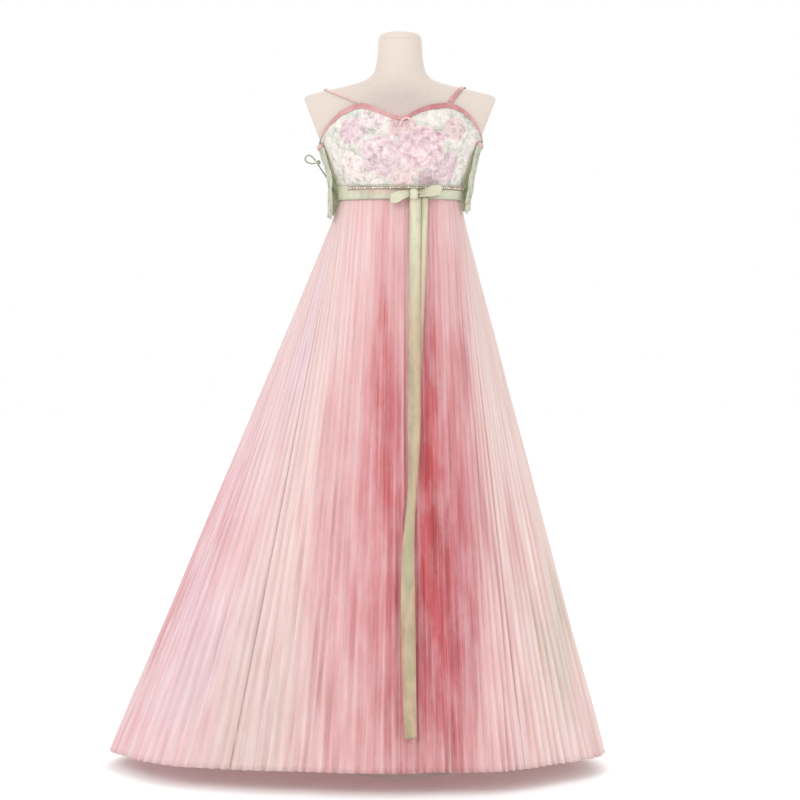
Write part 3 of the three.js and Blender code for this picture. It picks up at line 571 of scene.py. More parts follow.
def skirt_level_normal(pleat, down):
    a = skirt_base(np.maximum(pleat - 0.25, 0), down)
    b = skirt_base(np.minimum(pleat + 0.25, PLEATS), down)
    run = b - a
    length = np.hypot(run[..., 0], run[..., 1])
    return np.stack([run[..., 1] / length, -run[..., 0] / length, 0 * length], -1)


def line_wobble(line, salt):
    """An even spread between -1 and 1, fixed for each fold line."""
    return np.sin(line * 12.9898 + salt * 78.233)


def pleat_profile(line):
    """Place and lift of any point across the pleats, in pleats and in half depths."""
    first = np.floor(line)
    s = line - first
    round_fold = s - 0.6 * np.sin(2 * math.pi * s) / (2 * math.pi)
    at_seam = np.isin(first, SEAM_LINES)
    next_at_seam = np.isin(first + 1, SEAM_LINES)
    start = first / 2 + np.where(at_seam, 0, FOLD_STRAY * line_wobble(first, 1))
    end = (first + 1) / 2 + np.where(next_at_seam, 0, FOLD_STRAY * line_wobble(first + 1, 1))
    side = np.where(first % 2 == 0, -1, 1)
    low = side * (1 + FOLD_CHANGE * line_wobble(first, 2))
    high = -side * (1 + FOLD_CHANGE * line_wobble(first + 1, 2))
    return start + (end - start) * s, low + (high - low) * round_fold


SEAM_LINES = [2 * row[1] for row in SKIRT_PANELS] + [2 * PLEATS]
PLEAT_STEPS, SKIRT_ROWS, SKIRT_WALL = 5, 84, 0.8
SEAM_ROOM = 0.45          # a panel's edge stays this far from the seam line
FOLD_STRAY = 0.1          # how far a fold line strays from its place, in pleats
FOLD_CHANGE = 0.22        # how much a fold's depth differs from the next
PLEAT_RELIEF = 0.62       # the pressed pleats have relaxed to this share of their folded depth
TOP_RELIEF = 0.6          # and near the belt to this share of that
SMOOTH_PLEAT, SMOOTH_SPREAD = 30, 8     # the pleats that have fallen out most
# where the painted glints lie on the skirt, how wide they spread and how strong they are
GLINT_PLEAT, GLINT_SPREAD, GLINT_SHARE = 33, 7, 0.55
JUST_INSIDE = 1e-9

# Dye blots, and one painted shimmer: pleat and share of the way down at each blot's middle, its half sizes,
# colour and strength
DYE_AND_PAINTED_SHIMMER = [
    (14, 0.50, 16, 0.90, BLUSH, 0.9), (110, 0.50, 16, 0.90, PEACH, 0.9),
    (35, 0.50, 9, 0.90, LAVENDER, 0.9), (48, 0.45, 4, 0.50, CREAM, 0.8),
    (88, 0.45, 10, 0.95, PALE_PEACH, 1.0), (81, 0.30, 5, 0.22, CREAM, 0.8),
    (64.5, 0.50, 11, 0.90, BLUSH, 1.0), (47.5, 0.90, 5, 0.20, GREY_CREAM, 0.9),
    (64.8, 0.62, 8.2, 0.62, DUSTY, 1.0), (66.0, 0.10, 5.0, 0.22, DUSTY, 0.50),
    (65.2, 0.58, 6.4, 0.36, ROSE, 0.85), (70.5, 0.36, 3.6, 0.20, ROSE, 0.55),
    (60.6, 0.48, 2.0, 0.24, DEEP, 0.75), (67.0, 0.60, 2.5, 0.26, DEEP, 1.0),
    (67.2, 0.66, 1.8, 0.16, CRIMSON, 1.0), (71.0, 0.64, 2.0, 0.20, MAUVE_RED, 0.55),
    (67.6, 0.86, 2.6, 0.18, ROSE, 0.55), (61.5, 0.92, 2.0, 0.16, ROSE, 0.45),
    (58.2, 0.36, 1.5, 0.12, ROSE, 0.7), (56.5, 0.62, 4.0, 0.28, DUSTY, 0.80),
    (82.0, 0.45, 3.4, 0.24, PALE_PEACH, 0.8), (38, 0.16, 10, 0.26, PALE_PEACH, 0.75),
    (90, 0.06, 9, 0.16, PALE_PEACH, 0.75), (66.6, 0.76, 2.4, 0.18, DEEP, 0.9),
    (60.2, 0.45, 1.6, 0.12, DEEP, 0.6), (59.6, 0.30, 0.9, 0.08, DEEP, 0.45),
    (73.8, 0.34, 1.2, 0.07, MAUVE_RED, 0.65), (75.3, 0.58, 1.7, 0.08, MAUVE_RED, 0.55),
    (72.0, 0.72, 1.2, 0.14, MAUVE_RED, 0.45), (70.2, 0.66, 2.4, 0.26, ROSE, 0.80),
    (86, 0.78, 4, 0.10, GREY_GREEN, 0.85), (81.5, 0.66, 1.6, 0.10, DUSTY, 0.45),
    (30.5, 0.48, 2.6, 0.24, DUSTY, 0.60), (33.5, 0.70, 1.6, 0.10, ROSE, 0.40),
    (38.5, 0.58, 1.8, 0.12, DUSTY, 0.40), (40.5, 0.78, 2.4, 0.12, LILAC_GREY, 0.60),
    # painted shimmer: the lilac-grey blot at pleat 43.5 is a painted highlight, not a dye blot
    (43.5, 0.30, 2.6, 0.16, LILAC_GREY, 0.55), (52.3, 0.70, 1.2, 0.26, DUSTY, 0.35),
    (6, 0.60, 3.0, 0.20, ROSE, 0.50), (20, 0.40, 3.0, 0.25, DUSTY, 0.70),
    (104, 0.55, 3.0, 0.25, DUSTY, 0.70), (118, 0.70, 3.0, 0.20, ROSE, 0.45),
]


def skirt_dye_and_painted_light(pleat, down, lift):
    """The colour at each point: dyed blots laid on one by one, broken up from pleat to pleat, then painted
    glints in crinkles on the left, painted shade in the pleat valleys and painted light on their ridges.
    """
    line = np.round(pleat * 2)
    creep = 0.05 * line_wobble(line, 3) + 0.03 * line_wobble(line, 7)
    patchy = 0.86 + 0.14 * line_wobble(line, 5)
    colour = np.ones(pleat.shape + (3,)) * np.array(BLUSH)
    for centre, height, wide, tall, tone, strength in DYE_AND_PAINTED_SHIMMER:
        across = (pleat - centre + 0.25 * np.sin(9 * down + centre)) / wide
        along = (down - height + creep) / tall
        share = strength * patchy * np.exp(-np.abs(across) ** 2.4 - np.abs(along) ** 2.6)
        colour = lay(colour, tone, np.clip(share, 0, 1))
    # painted glints: a painted highlight laid along diagonal crinkles over the left pleats
    bend = np.sin(2.3 * pleat + 31 * down + 3 * np.sin(9 * down + 0.7 * pleat))
    bend = bend * np.sin(1.1 * pleat - 17 * down)
    near = np.exp(-((pleat - GLINT_PLEAT) / GLINT_SPREAD) ** 2) * ease(down, 0.1, 0.3)
    colour = lay(colour, GLINT, GLINT_SHARE * ease(bend, 0.45, 0.85) * near)
    # painted shade in the pleat valleys and painted light on the ridges: the colour follows each fold's lift
    crease = 1.02 + 0.05 * np.clip(lift, -1, 1)
    return np.clip(colour * crease[..., None], 0, 1)


def build_skirt(material):
    """Five pleated panels, each tucked up behind the belt and a little clear of its neighbours."""
    down_rows = np.linspace(0, 1, SKIRT_ROWS)
    for name, start, end in SKIRT_PANELS:
        line = np.linspace(2 * start, 2 * end, 2 * (end - start) * PLEAT_STEPS + 1)
        line[-1] -= JUST_INSIDE
        place_at, lift = pleat_profile(line)
        lift[-1] = -1 - FOLD_CHANGE * line_wobble(2 * end, 2)
        down, pleat = np.meshgrid(down_rows, place_at, indexing="ij")
        lift = lift[None] + 0 * down
        hem_angle = smooth(FAN, "pleat", "hem", pleat)
        depth = WAIST_PLEAT_DEPTH + (HEM_PLEAT_DEPTH - WAIST_PLEAT_DEPTH) * down
        loose = 0.9 + 0.32 * ripple(0.7 * down + 0.173 * np.round(pleat), 11, 4, 1.5)
        fallen = np.exp(-((pleat - SMOOTH_PLEAT) / SMOOTH_SPREAD) ** 2)
        loose = np.clip(loose, 0.15, 1.5) * (1 - 0.5 * fallen)
        soft_top = TOP_RELIEF + (1 - TOP_RELIEF) * ease(down, 0.05, 0.4)
        push = PLEAT_RELIEF * soft_top * lift * loose * depth / 2 + fold_out(hem_angle, down)
        sway = down * ripple(down * 1.3 + 0.21 * pleat, 23, 4, 0.8)
        sway *= np.minimum(1, np.minimum(pleat - start, end - pleat))
        normal = skirt_level_normal(pleat, down)
        side = np.stack([-normal[..., 1], normal[..., 0], 0 * down], -1)
        ends = np.zeros(len(line))
        ends[0], ends[-1] = SEAM_ROOM, -SEAM_ROOM
        grid = skirt_base(pleat, down) + normal * push[..., None] + side * (sway + ends[None])[..., None]
        under = grid[:1].copy()
        under[..., 2] = WAIST_SEAM
        grid = np.concatenate([under, grid])
        uv = np.stack([pleat / PLEATS, down], -1)
        uv = np.concatenate([uv[:1], uv])
        dye_and_painted_light = skirt_dye_and_painted_light(pleat, down, lift)
        dye_and_painted_light = np.concatenate([dye_and_painted_light[:1], dye_and_painted_light])
        piece = make_shell("pleats_" + name, grid, SKIRT_WALL, material, uv, dye_and_painted_light)
        place(piece, "skirt_cloth", name)


def skirt_front_y(x, z):
    """The skirt's outermost surface in front, at a place across and up: the pleat there is searched for."""
    low, high = FRONT_PANEL[1] + 0.0 * x, FRONT_PANEL[2] + 0.0 * x
    hem_z = lambda p: hem_point(smooth(FAN, "pleat", "hem", p))[..., 2]
    drop = lambda p: (BELT_BOTTOM - z) / (BELT_BOTTOM - hem_z(p))
    for _ in range(24):
        middle = (low + high) / 2
        left = skirt_base(middle, drop(middle))[..., 0] < x
        low, high = np.where(left, middle, low), np.where(left, high, middle)
    down = np.maximum(drop(low), 0)
    depth = WAIST_PLEAT_DEPTH + (HEM_PLEAT_DEPTH - WAIST_PLEAT_DEPTH) * down
    proud = 0.9 * depth / 2 + fold_out(smooth(FAN, "pleat", "hem", low), down) + CLOTH_WALL * 1.1
    return skirt_base(low, down)[..., 1] - proud


# ---------------------------------------------------------------- bodice
def neckline(angle):
    return smooth(NECKLINE, "angle", "z", angle)


def bodice_surface(angle, z):
    side = neckline(np.where(angle < 0, -90.0, 90.0))
    seam = np.minimum(z, side)
    reach = np.minimum(smooth(FORM, "z", "half", seam), stump_limit(seam))
    x = (reach + BODICE_EASE) * np.sin(np.radians(angle))
    return np.stack([x, form_depth(x, z, True, BODICE_EASE), z + 0 * x], -1)


def bodice_point(angle, z, out):
    across = bodice_surface(angle + 1, z) - bodice_surface(angle - 1, z)
    up = bodice_surface(angle, z + 1) - bodice_surface(angle, z - 1)
    normal = np.cross(across, up)
    normal /= np.linalg.norm(normal, axis=-1, keepdims=True)
    out = np.asarray(out, float)
    return bodice_surface(angle, z) + normal * (out[..., None] if out.ndim else out)


def binding_width(angle):
    return 5 + 6 * np.exp(-((np.abs(angle) - 30) / 34) ** 2)


# Blossoms: place across the unrolled front and up, radius, petals, turn, pale and deep colours
BLOSSOMS = [
    (-34, 1226, 43, 6, 0.4, PINK_PETAL, MAUVE_PETAL), (40, 1242, 46, 7, 1.1, PINK_PETAL, PETAL_DEEP),
    (4, 1284, 27, 5, 0.2, PEACH_PETAL, PETAL_DEEP), (-86, 1274, 30, 6, 2.0, PINK_PETAL, MAUVE_PETAL),
    (6, 1196, 34, 6, 0.9, PEACH_PETAL, PINK_PETAL), (96, 1204, 34, 6, 1.7, PINK_PETAL, MAUVE_PETAL),
    (-100, 1206, 32, 5, 0.7, IVORY, PINK_PETAL), (98, 1280, 26, 5, 0.1, PEACH_PETAL, MAUVE_PETAL),
    (-46, 1302, 24, 5, 1.4, IVORY, MAUVE_PETAL), (58, 1186, 22, 5, 2.2, MAUVE_PETAL, PLUM),
    (-150, 1232, 34, 6, 0.5, IVORY, MINT_DEEP), (150, 1238, 36, 6, 0.9, IVORY, MINT_DEEP),
    (54, 1306, 20, 5, 0.3, IVORY, MINT_DEEP), (-62, 1180, 20, 5, 0.3, IVORY, MINT_DEEP),
]
# Leaves: place, length, width, turn in degrees, colour
LEAVES = [
    (-78, 1240, 40, 17, 60, SAGE), (-4, 1246, 34, 14, 120, MINT_DEEP), (84, 1248, 40, 16, -30, SAGE),
    (-66, 1196, 38, 15, 10, MINT_DEEP), (64, 1212, 30, 13, 75, SAGE), (-126, 1258, 36, 15, 100, SAGE),
    (128, 1262, 38, 15, 60, SAGE), (-30, 1182, 30, 12, -20, SAGE), (128, 1190, 34, 14, 130, MINT_DEEP),
    (24, 1308, 28, 12, 25, SAGE), (-92, 1306, 30, 12, -35, MINT_DEEP), (80, 1312, 28, 12, 150, SAGE),
    (-128, 1190, 32, 13, 30, SAGE), (34, 1186, 24, 10, 40, SAGE), (-112, 1238, 30, 12, 150, SAGE),
    (112, 1238, 30, 12, 20, SAGE), (-24, 1262, 26, 11, 60, SAGE), (74, 1278, 28, 12, 100, MINT_DEEP),
]


def paint_blossom(colour, relief, s, z, row):
    x, height, radius, petals, turn, pale, deep = row
    across, up = s - x, z - height
    theta = np.arctan2(up, across) + turn
    r = np.hypot(across, up) / radius * (1 + 0.05 * np.sin(5 * theta + x))
    for ring, size in enumerate((1.0, 0.80, 0.60, 0.42, 0.26)):
        lobe = np.abs(np.cos((petals - ring // 2) * theta / 2 + 0.9 * ring + 0.3 * np.sin(theta)))
        edge = size * (0.78 + 0.22 * lobe ** 0.6)
        inside = ease(edge - r, 0, 0.07)
        depth = np.clip((edge - r) / 0.34, 0, 1)
        veins = 0.5 + 0.5 * np.cos(26 * theta + 3 * ring)
        share = np.clip(0.75 * depth + 0.35 * (1 - lobe) ** 2 + 0.10 * veins * depth, 0, 1)
        tone = lay(np.array(pale), deep, share)
        rim = np.exp(-((edge - r - 0.06) / 0.06) ** 2)
        tone = lay(tone, IVORY, 0.35 * rim)
        outline = np.exp(-((edge - r) / 0.05) ** 2) * (ring == 0)
        colour = lay(colour, MINT_DEEP, 0.5 * outline)
        colour = lay(colour, tone, inside)
        relief = np.maximum(relief, inside * (0.35 + 0.22 * ring) * (1 - 0.35 * depth))
    dots = (0.5 + 0.5 * np.cos(across * 2.6)) * (0.5 + 0.5 * np.cos(up * 2.6 + across))
    heart = ease(0.17 - r, 0, 0.05)
    colour = lay(colour, PLUM, heart * 0.55 * dots)
    colour = lay(colour, IVORY, ease(0.2 - r, 0, 0.05) * 0.6 * ease(dots, 0.5, 0.9))
    return colour, relief + 0.25 * heart * dots


def paint_leaf(colour, relief, s, z, row):
    x, height, length, width, turn, tone = row
    c, k = math.cos(math.radians(turn)), math.sin(math.radians(turn))
    along, across = (s - x) * c + (z - height) * k, (z - height) * c - (s - x) * k
    half = width / 2 * np.clip(1 - (2 * along / length) ** 2, 0, 1) ** 0.8
    inside = ease(half - np.abs(across), 0, 1.2)
    rib = np.exp(-(across / 0.7) ** 2)
    side_veins = 0.5 + 0.5 * np.cos(1.5 * (along - np.abs(across)))
    colour = lay(colour, tone, inside * (0.75 + 0.15 * side_veins))
    colour = lay(colour, IVORY, inside * rib * 0.6)
    return colour, np.maximum(relief, inside * (0.4 - 0.2 * rib))


def bodice_figure(s, z):
    """Colour and relief of the brocade: a mint ground, then leaves and generic blossoms."""
    cloud = 0.5 + 0.25 * np.sin(s / 17 + 2 * np.sin(z / 23)) + 0.25 * np.sin(z / 13 - s / 29)
    sprig = np.sin(s / 3.1 + 2 * np.sin(z / 5.3)) * np.sin(z / 2.7 + 2 * np.sin(s / 6.1))
    colour = np.ones(s.shape + (3,)) * np.array(MINT)
    colour = lay(colour, MINT_DEEP, 0.7 * ease(cloud, 0.4, 0.9))
    colour = lay(colour, IVORY, 0.5 * ease(0.5 - cloud, 0.0, 0.4) + 0.35 * ease(sprig, 0.25, 0.8))
    relief = np.zeros(s.shape)
    for row in LEAVES:
        colour, relief = paint_leaf(colour, relief, s, z, row)
    for row in reversed(BLOSSOMS):
        colour, relief = paint_blossom(colour, relief, s, z, row)
    middle = np.exp(-(s / 62) ** 2 - ((z - 1230) / 42) ** 2)
    colour = lay(colour, MAUVE_MIST, 0.26 + 0.16 * middle)
    colour = lay(colour, MAUVE_CORE, 0.42 * np.exp(-((s - 6) / 30) ** 2 - ((z - 1256) / 26) ** 2))
    return colour, relief


BODICE_ROWS, BODICE_COLUMNS, BODICE_WALL = 120, 300, 0.7
BACK_ROWS, BACK_COLUMNS, BACK_WALL = 70, 250, 0.8
UNROLL_RADIUS = 135       # turns an angle round the bodice into a distance across the flat cloth
MOTIF_ACROSS, MOTIF_UP = 60, 46


def build_bodice_front(material):
    angles = np.linspace(-SIDE_ANGLE, SIDE_ANGLE, BODICE_COLUMNS)
    share = np.linspace(0, 1, BODICE_ROWS)[:, None]
    top, foot = neckline(angles)[None], WAIST_SEAM + 0.3
    z = top + (foot - top) * share
    angle = angles[None] + 0 * z
    unrolled = np.radians(angle) * UNROLL_RADIUS
    colour, relief = bodice_figure(unrolled, z)
    pucker = 0.35 * ripple(angle / 60, 3, 5, 3) * np.exp(-(z - BELT_TOP) / 12) * (z > BELT_TOP)
    pull = 0.5 * np.exp(-((z - 1200) / 22) ** 2) * ripple(unrolled / 160 + z / 300, 5, 4, 1.5)
    out = 0.6 + 0.45 * relief + pucker + pull
    grid = bodice_point(angle, z, out)
    uv = np.stack([unrolled * MM, z * MM], -1)
    piece = make_shell("bodice_front_cloth", grid, BODICE_WALL, material, uv, colour)
    place(piece, "bodice_cloth", "bodice_front")


def back_panel_point(angle, z, out):
    left, right = smooth(BACK_PANEL, "z", "left", z), smooth(BACK_PANEL, "z", "right", z)
    half = np.where(angle < 0, left, right) + out
    turn = np.radians(angle)
    depth = np.where(np.cos(turn) > 0, smooth(BACK_PANEL, "z", "back", z), BACK_PANEL_FRONT_DEPTH) + out
    return np.stack([half * np.sin(turn), depth * np.cos(turn), z + 0 * half], -1)


def build_back_panel(material):
    angles = np.linspace(BACK_PANEL_REACH, -BACK_PANEL_REACH, BACK_COLUMNS)
    share = np.linspace(0, 1, BACK_ROWS)[:, None]
    top = smooth(BACK_EDGES, "angle", "top", angles)[None]
    foot = smooth(BACK_EDGES, "angle", "bottom", angles)[None]
    z = top + (foot - top) * share
    angle = angles[None] + 0 * z
    unrolled = np.radians(angle) * UNROLL_RADIUS
    sag = share ** 1.5 * (1.3 * ripple(angle / 130, 17, 5, 2.2) + 0.8)
    crease = 0.8 * np.exp(-((share - 0.55) / 0.3) ** 2) * ripple(angle / 70 + share * 0.4, 19, 4, 2)
    shift = MOTIF_ACROSS / 2 * np.floor(z / MOTIF_UP)
    flower = np.mod(unrolled + shift, MOTIF_ACROSS) - MOTIF_ACROSS / 2, np.mod(z, MOTIF_UP) - MOTIF_UP / 2
    colour = np.ones(z.shape + (3,)) * np.array(JACQUARD)
    relief = np.zeros(z.shape)
    colour, relief = paint_blossom(colour, relief, *flower, (0, 0, 13, 5, 0.6, IVORY, SAGE))
    colour, relief = paint_leaf(colour, relief, *flower, (19, 12, 16, 6, 35, SAGE))
    # painted light: the side-facing edges of the back panel are lightened where they face away from the lamps
    colour = lay(colour, PAINTED_EDGE_LIGHT_MINT, ease(np.abs(angle), 74, 92))
    out = 0.6 + 0.3 * relief + sag + crease
    grid = back_panel_point(angle, z, out)
    uv = np.stack([unrolled * MM, z * MM], -1)
    piece = make_shell("bodice_back_cloth", grid, BACK_WALL, material, uv, colour)
    place(piece, "back_cloth", "bodice_back")


# ---------------------------------------------------------------- bindings and straps
def sweep(name, centre, across, up, half_width, half_height, material, around=20, power=2.6,
          colours=None):
    """A solid band along a line: a rounded flat section at each point."""
    turn = 2 * math.pi * np.arange(around) / around
    c, s = np.cos(turn), np.sin(turn)
    wide = np.sign(c) * np.abs(c) ** (2 / power)
    tall = np.sign(s) * np.abs(s) ** (2 / power)
    half_width = np.broadcast_to(half_width, (len(centre),))[:, None, None]
    half_height = np.broadcast_to(half_height, (len(centre),))[:, None, None]
    rings = (centre[:, None] + across[:, None] * wide[None, :, None] * half_width
             + up[:, None] * tall[None, :, None] * half_height)
    length = np.concatenate([[0], np.cumsum(np.linalg.norm(np.diff(centre, axis=0), axis=1))])
    uv = np.stack(np.broadcast_arrays(length[:, None] * MM, turn[None] / (2 * math.pi)), -1)
    faces = tube_faces(len(centre), around)
    tint = None if colours is None else np.repeat(colours[:, None], around, axis=1)
    return make_object(name, rings, faces, material, uv, tint)


def unit(vectors):
    return vectors / np.linalg.norm(vectors, axis=-1, keepdims=True)


BINDING_LIFT, BINDING_RISE, BINDING_HALF, BACK_BINDING = 2.2, 0.4, 1.15, 6
LAP_RISE, LAP_REACH = 3.1, 4.5      # how the right binding passes over the left


def build_binding(name, node, point, angles, top, width, lift, material):
    """A satin fold over a panel's edge: it stands a little above it and bulges outwards."""
    z_mid = top - width / 2 + BINDING_RISE
    centre = point(angles, z_mid, lift)
    high = point(angles, top, lift)
    low = point(angles, top - width, lift)
    across = unit(high - low)
    along = unit(np.gradient(centre, axis=0))
    up = unit(np.cross(along, across))
    rolls = 0.18 * ripple(angles / 40, 31, 5, 4)
    half = width / 2 + 0.5 + rolls
    tone = np.ones(centre.shape) * np.array(SATIN_ROSE)
    tone = lay(tone, SATIN_BLUSH, 0.6 * ease(np.abs(angles), 48, 80))
    deep = ease(angles, 2, 8) * (1 - ease(angles, 26, 44))
    tone = lay(tone, SATIN_ROSE_DEEP, 0.6 * deep)
    thick = BINDING_HALF + 0.12 * ripple(angles / 23, 37, 4, 3)
    band = sweep(name, centre, across, up, half, thick, material, colours=tone)
    place(band, "rose_satin", node)


def build_bindings(rose):
    left = np.linspace(-SIDE_ANGLE, NECK_DIP, 160)
    right = np.linspace(NECK_DIP - LAP_REACH, SIDE_ANGLE, 160)
    build_binding("neck_binding_left", "binding_left", bodice_point, left, neckline(left),
                  binding_width(left), BINDING_LIFT + 0 * left, rose)
    lapped = BINDING_LIFT + LAP_RISE * ease(NECK_DIP + 6 - right, 0, 4)
    build_binding("neck_binding_right", "binding_right", bodice_point, right, neckline(right),
                  binding_width(right), lapped, rose)
    back = np.linspace(BACK_PANEL_REACH, -BACK_PANEL_REACH, 220)
    build_binding("back_binding", "binding_back", back_panel_point, back,
                  smooth(BACK_EDGES, "angle", "top", back), BACK_BINDING + 0 * back,
                  BINDING_LIFT + 0 * back, rose)


LAP_ANGLE, LAP_Z, LAP_CLEAR = 3.0, 1296.0, 7.6
LAP_TURN = 0.38           # degrees round the bodice for each millimetre across
# Two short ribbon ends where the bindings lap: steps across and up from the lap, in millimetres
LAP_ENDS = [[(0, 0), (5, 1), (10, -2), (14, -6)], [(0, 0), (-4, -3), (-7, -8), (-8, -13)]]


def build_lap_ends(blush):
    for count, steps in enumerate(LAP_ENDS):
        route = [bodice_point(np.array(LAP_ANGLE + LAP_TURN * dx), np.array(LAP_Z + dz),
                              LAP_CLEAR + 0.12 * dz) for dx, dz in steps]
        line = catmull(route, 40)
        along = unit(np.gradient(line, axis=0))
        across = unit(np.cross(along, np.array([0.1, -1.0, 0.1])))
        up = unit(np.cross(across, along))
        share = np.linspace(0, 1, 40)
        half = 1.6 + 0.6 * share
        end = sweep("lap_end_%d" % count, line, across, up, half, 0.45, blush, 14)
        place(end, "rose_satin", "binding_right")


STRAP_CLEAR, STRAP_STAND, STRAP_HALF_WALL, THIN_STRAP = 1.6, 2, 0.6, 6
STRAPS = {
    "strap_left": dict(width=4, top=(-149, 1364),
                       front=[(-86, 1333), (-104, 1342), (-122, 1350), (-138, 1357)],
                       back=[(-148, 1352), (-138, 1326), (-121, 1292), (-104, 1250)]),
    "strap_right": dict(width=8, top=(126, 1369),
                        front=[(98, 1334), (104, 1342), (111, 1351), (118, 1359)],
                        back=[(131, 1354), (127, 1326), (114, 1292), (100, 1250)]),
}


def catmull(points, count):
    """A smooth line through the points, evenly stepped."""
    p = np.asarray(points, float)
    p = np.concatenate([[2 * p[0] - p[1]], p, [2 * p[-1] - p[-2]]])
    gaps = np.linalg.norm(np.diff(p, axis=0), axis=1) ** 0.5
    knots = np.concatenate([[0], np.cumsum(gaps)])
    out = []
    for i in range(1, len(p) - 2):
        t = np.linspace(knots[i], knots[i + 1], 40, endpoint=False)[:, None]
        t0, t1, t2, t3 = knots[i - 1:i + 3]
        a1 = (t1 - t) / (t1 - t0) * p[i - 1] + (t - t0) / (t1 - t0) * p[i]
        a2 = (t2 - t) / (t2 - t1) * p[i] + (t - t1) / (t2 - t1) * p[i + 1]
        a3 = (t3 - t) / (t3 - t2) * p[i + 1] + (t - t2) / (t3 - t2) * p[i + 2]
        b1 = (t2 - t) / (t2 - t0) * a1 + (t - t0) / (t2 - t0) * a2
        b2 = (t3 - t) / (t3 - t1) * a2 + (t - t1) / (t3 - t1) * a3
        out.append((t2 - t) / (t2 - t1) * b1 + (t - t1) / (t2 - t1) * b2)
    line = np.concatenate(out + [p[-2][None]])
    run = np.concatenate([[0], np.cumsum(np.linalg.norm(np.diff(line, axis=0), axis=1))])
    even = np.linspace(0, run[-1], count)
    return np.stack([np.interp(even, run, line[:, k]) for k in range(3)], -1)


def build_straps(rose, blush):
    for name, strap in STRAPS.items():
        ahead = [(x, float(form_depth(x, z, True, STRAP_CLEAR)) - STRAP_STAND, z) for x, z in strap["front"]]
        behind = [(x, float(form_depth(x, z, False, STRAP_CLEAR)) + STRAP_STAND, z) for x, z in strap["back"]]
        route = ahead + [(strap["top"][0], 0, strap["top"][1])] + behind
        line = catmull(route, 160)
        along = unit(np.gradient(line, axis=0))
        away = unit(line - np.array([strap["top"][0] * 0.8, 5, 1300]))
        across = unit(np.cross(along, away))
        up = unit(np.cross(across, along))
        material = blush if strap["width"] < THIN_STRAP else rose
        band = sweep("satin_" + name, line + up * 0.5, across, up, strap["width"] / 2, STRAP_HALF_WALL,
                     material, 16)
        place(band, "rose_satin", name)


# ---------------------------------------------------------------- belt, beads and bow
def belt_point(angle, z, out):
    turn = np.radians(angle)
    low = np.stack([BELT_HALF * np.sin(turn), -BELT_DEPTH * np.cos(turn), 0 * turn], -1)
    high = bodice_point(angle, BELT_TOP + 0 * angle, CLOTH_WALL + 0.6)
    share = ((z - BELT_BOTTOM) / (BELT_TOP - BELT_BOTTOM))[..., None]
    out = np.broadcast_to(out, angle.shape)
    push = np.stack([out * np.sin(turn), -out * np.cos(turn), 0 * turn], -1)
    point = low + (high - low) * share + push
    point[..., 2] = z
    return point


BELT_REACH, BELT_COLUMNS, BELT_ROWS, SASH_WALL = 84, 260, 30, 0.9
WARM_ANGLE, WARM_SPREAD = -14, 34       # where the sash takes a taupe cast


def build_belt(sage):
    """The sash across the front: soft folds along it, rolled edges and a warmer middle."""
    angles = np.linspace(-BELT_REACH, BELT_REACH, BELT_COLUMNS)
    share = np.linspace(0, 1, BELT_ROWS)[:, None]
    z = BELT_TOP + (BELT_BOTTOM - BELT_TOP) * share
    angle = angles[None] + 0 * z
    z = z + 0 * angle
    folds = 0.9 * np.sin(2 * math.pi * (2.4 * share + 0.175 * ripple(angle / 260, 41, 3, 1.2)))
    roll = 0.9 * np.exp(-((share - 1) / 0.1) ** 2) + 0.6 * np.exp(-(share / 0.1) ** 2)
    out = BELT_WALL / 2 + 0.5 + 0.45 * folds + roll + 0.2 * ripple(angle / 50 + share, 43, 4, 2)
    grid = belt_point(angle, z, out)
    warm = np.exp(-((angle - WARM_ANGLE) / WARM_SPREAD) ** 2) * np.exp(-((share - 0.40) / 0.3) ** 2)
    colour = lay(np.ones(z.shape + (3,)) * np.array(SAGE), TAUPE_PINK, 0.95 * warm)
    colour = lay(colour, SAGE_DARK, 0.55 * ease(share + 0 * z, 0.78, 1.0))
    uv = np.stack([np.radians(angle) * 0.12, z * MM], -1)
    piece = make_shell("sash_belt", grid, SASH_WALL, sage, uv, colour)
    place(piece, "sage_satin", "belt")


POLE_OPEN = 0.05          # a ball's end rings stop this far from its poles, in radians


def ball(centre, radius, rings=7, around=10):
    """Points and faces of one bead."""
    up = np.linspace(-math.pi / 2 + POLE_OPEN, math.pi / 2 - POLE_OPEN, rings)
    turn = 2 * math.pi * np.arange(around) / around
    x = radius * np.cos(up)[:, None] * np.cos(turn)
    y = radius * np.cos(up)[:, None] * np.sin(turn)
    z = radius * np.sin(up)[:, None] + 0 * turn
    return np.stack([x, y, z], -1).reshape(-1, 3) + centre, tube_faces(rings, around)


BEAD_TONES = [srgb(226, 208, 190), srgb(242, 232, 220), srgb(196, 168, 152), srgb(232, 218, 204)]
SEED_TONES = [srgb(112, 92, 82), srgb(168, 146, 128)]
BEAD_PITCH, BEAD_RADIUS, BEAD_MIDDLE = 5.8, 2.15, 1165.0
BEAD_START, BEAD_END = -54, 84       # degrees round the belt
BEAD_OUT, SEED_OUT, SEED_RISE, SEED_RADIUS = 1.5, 0.9, 2.9, 1.1
BELT_TURN = 2.1           # millimetres round the belt for each degree


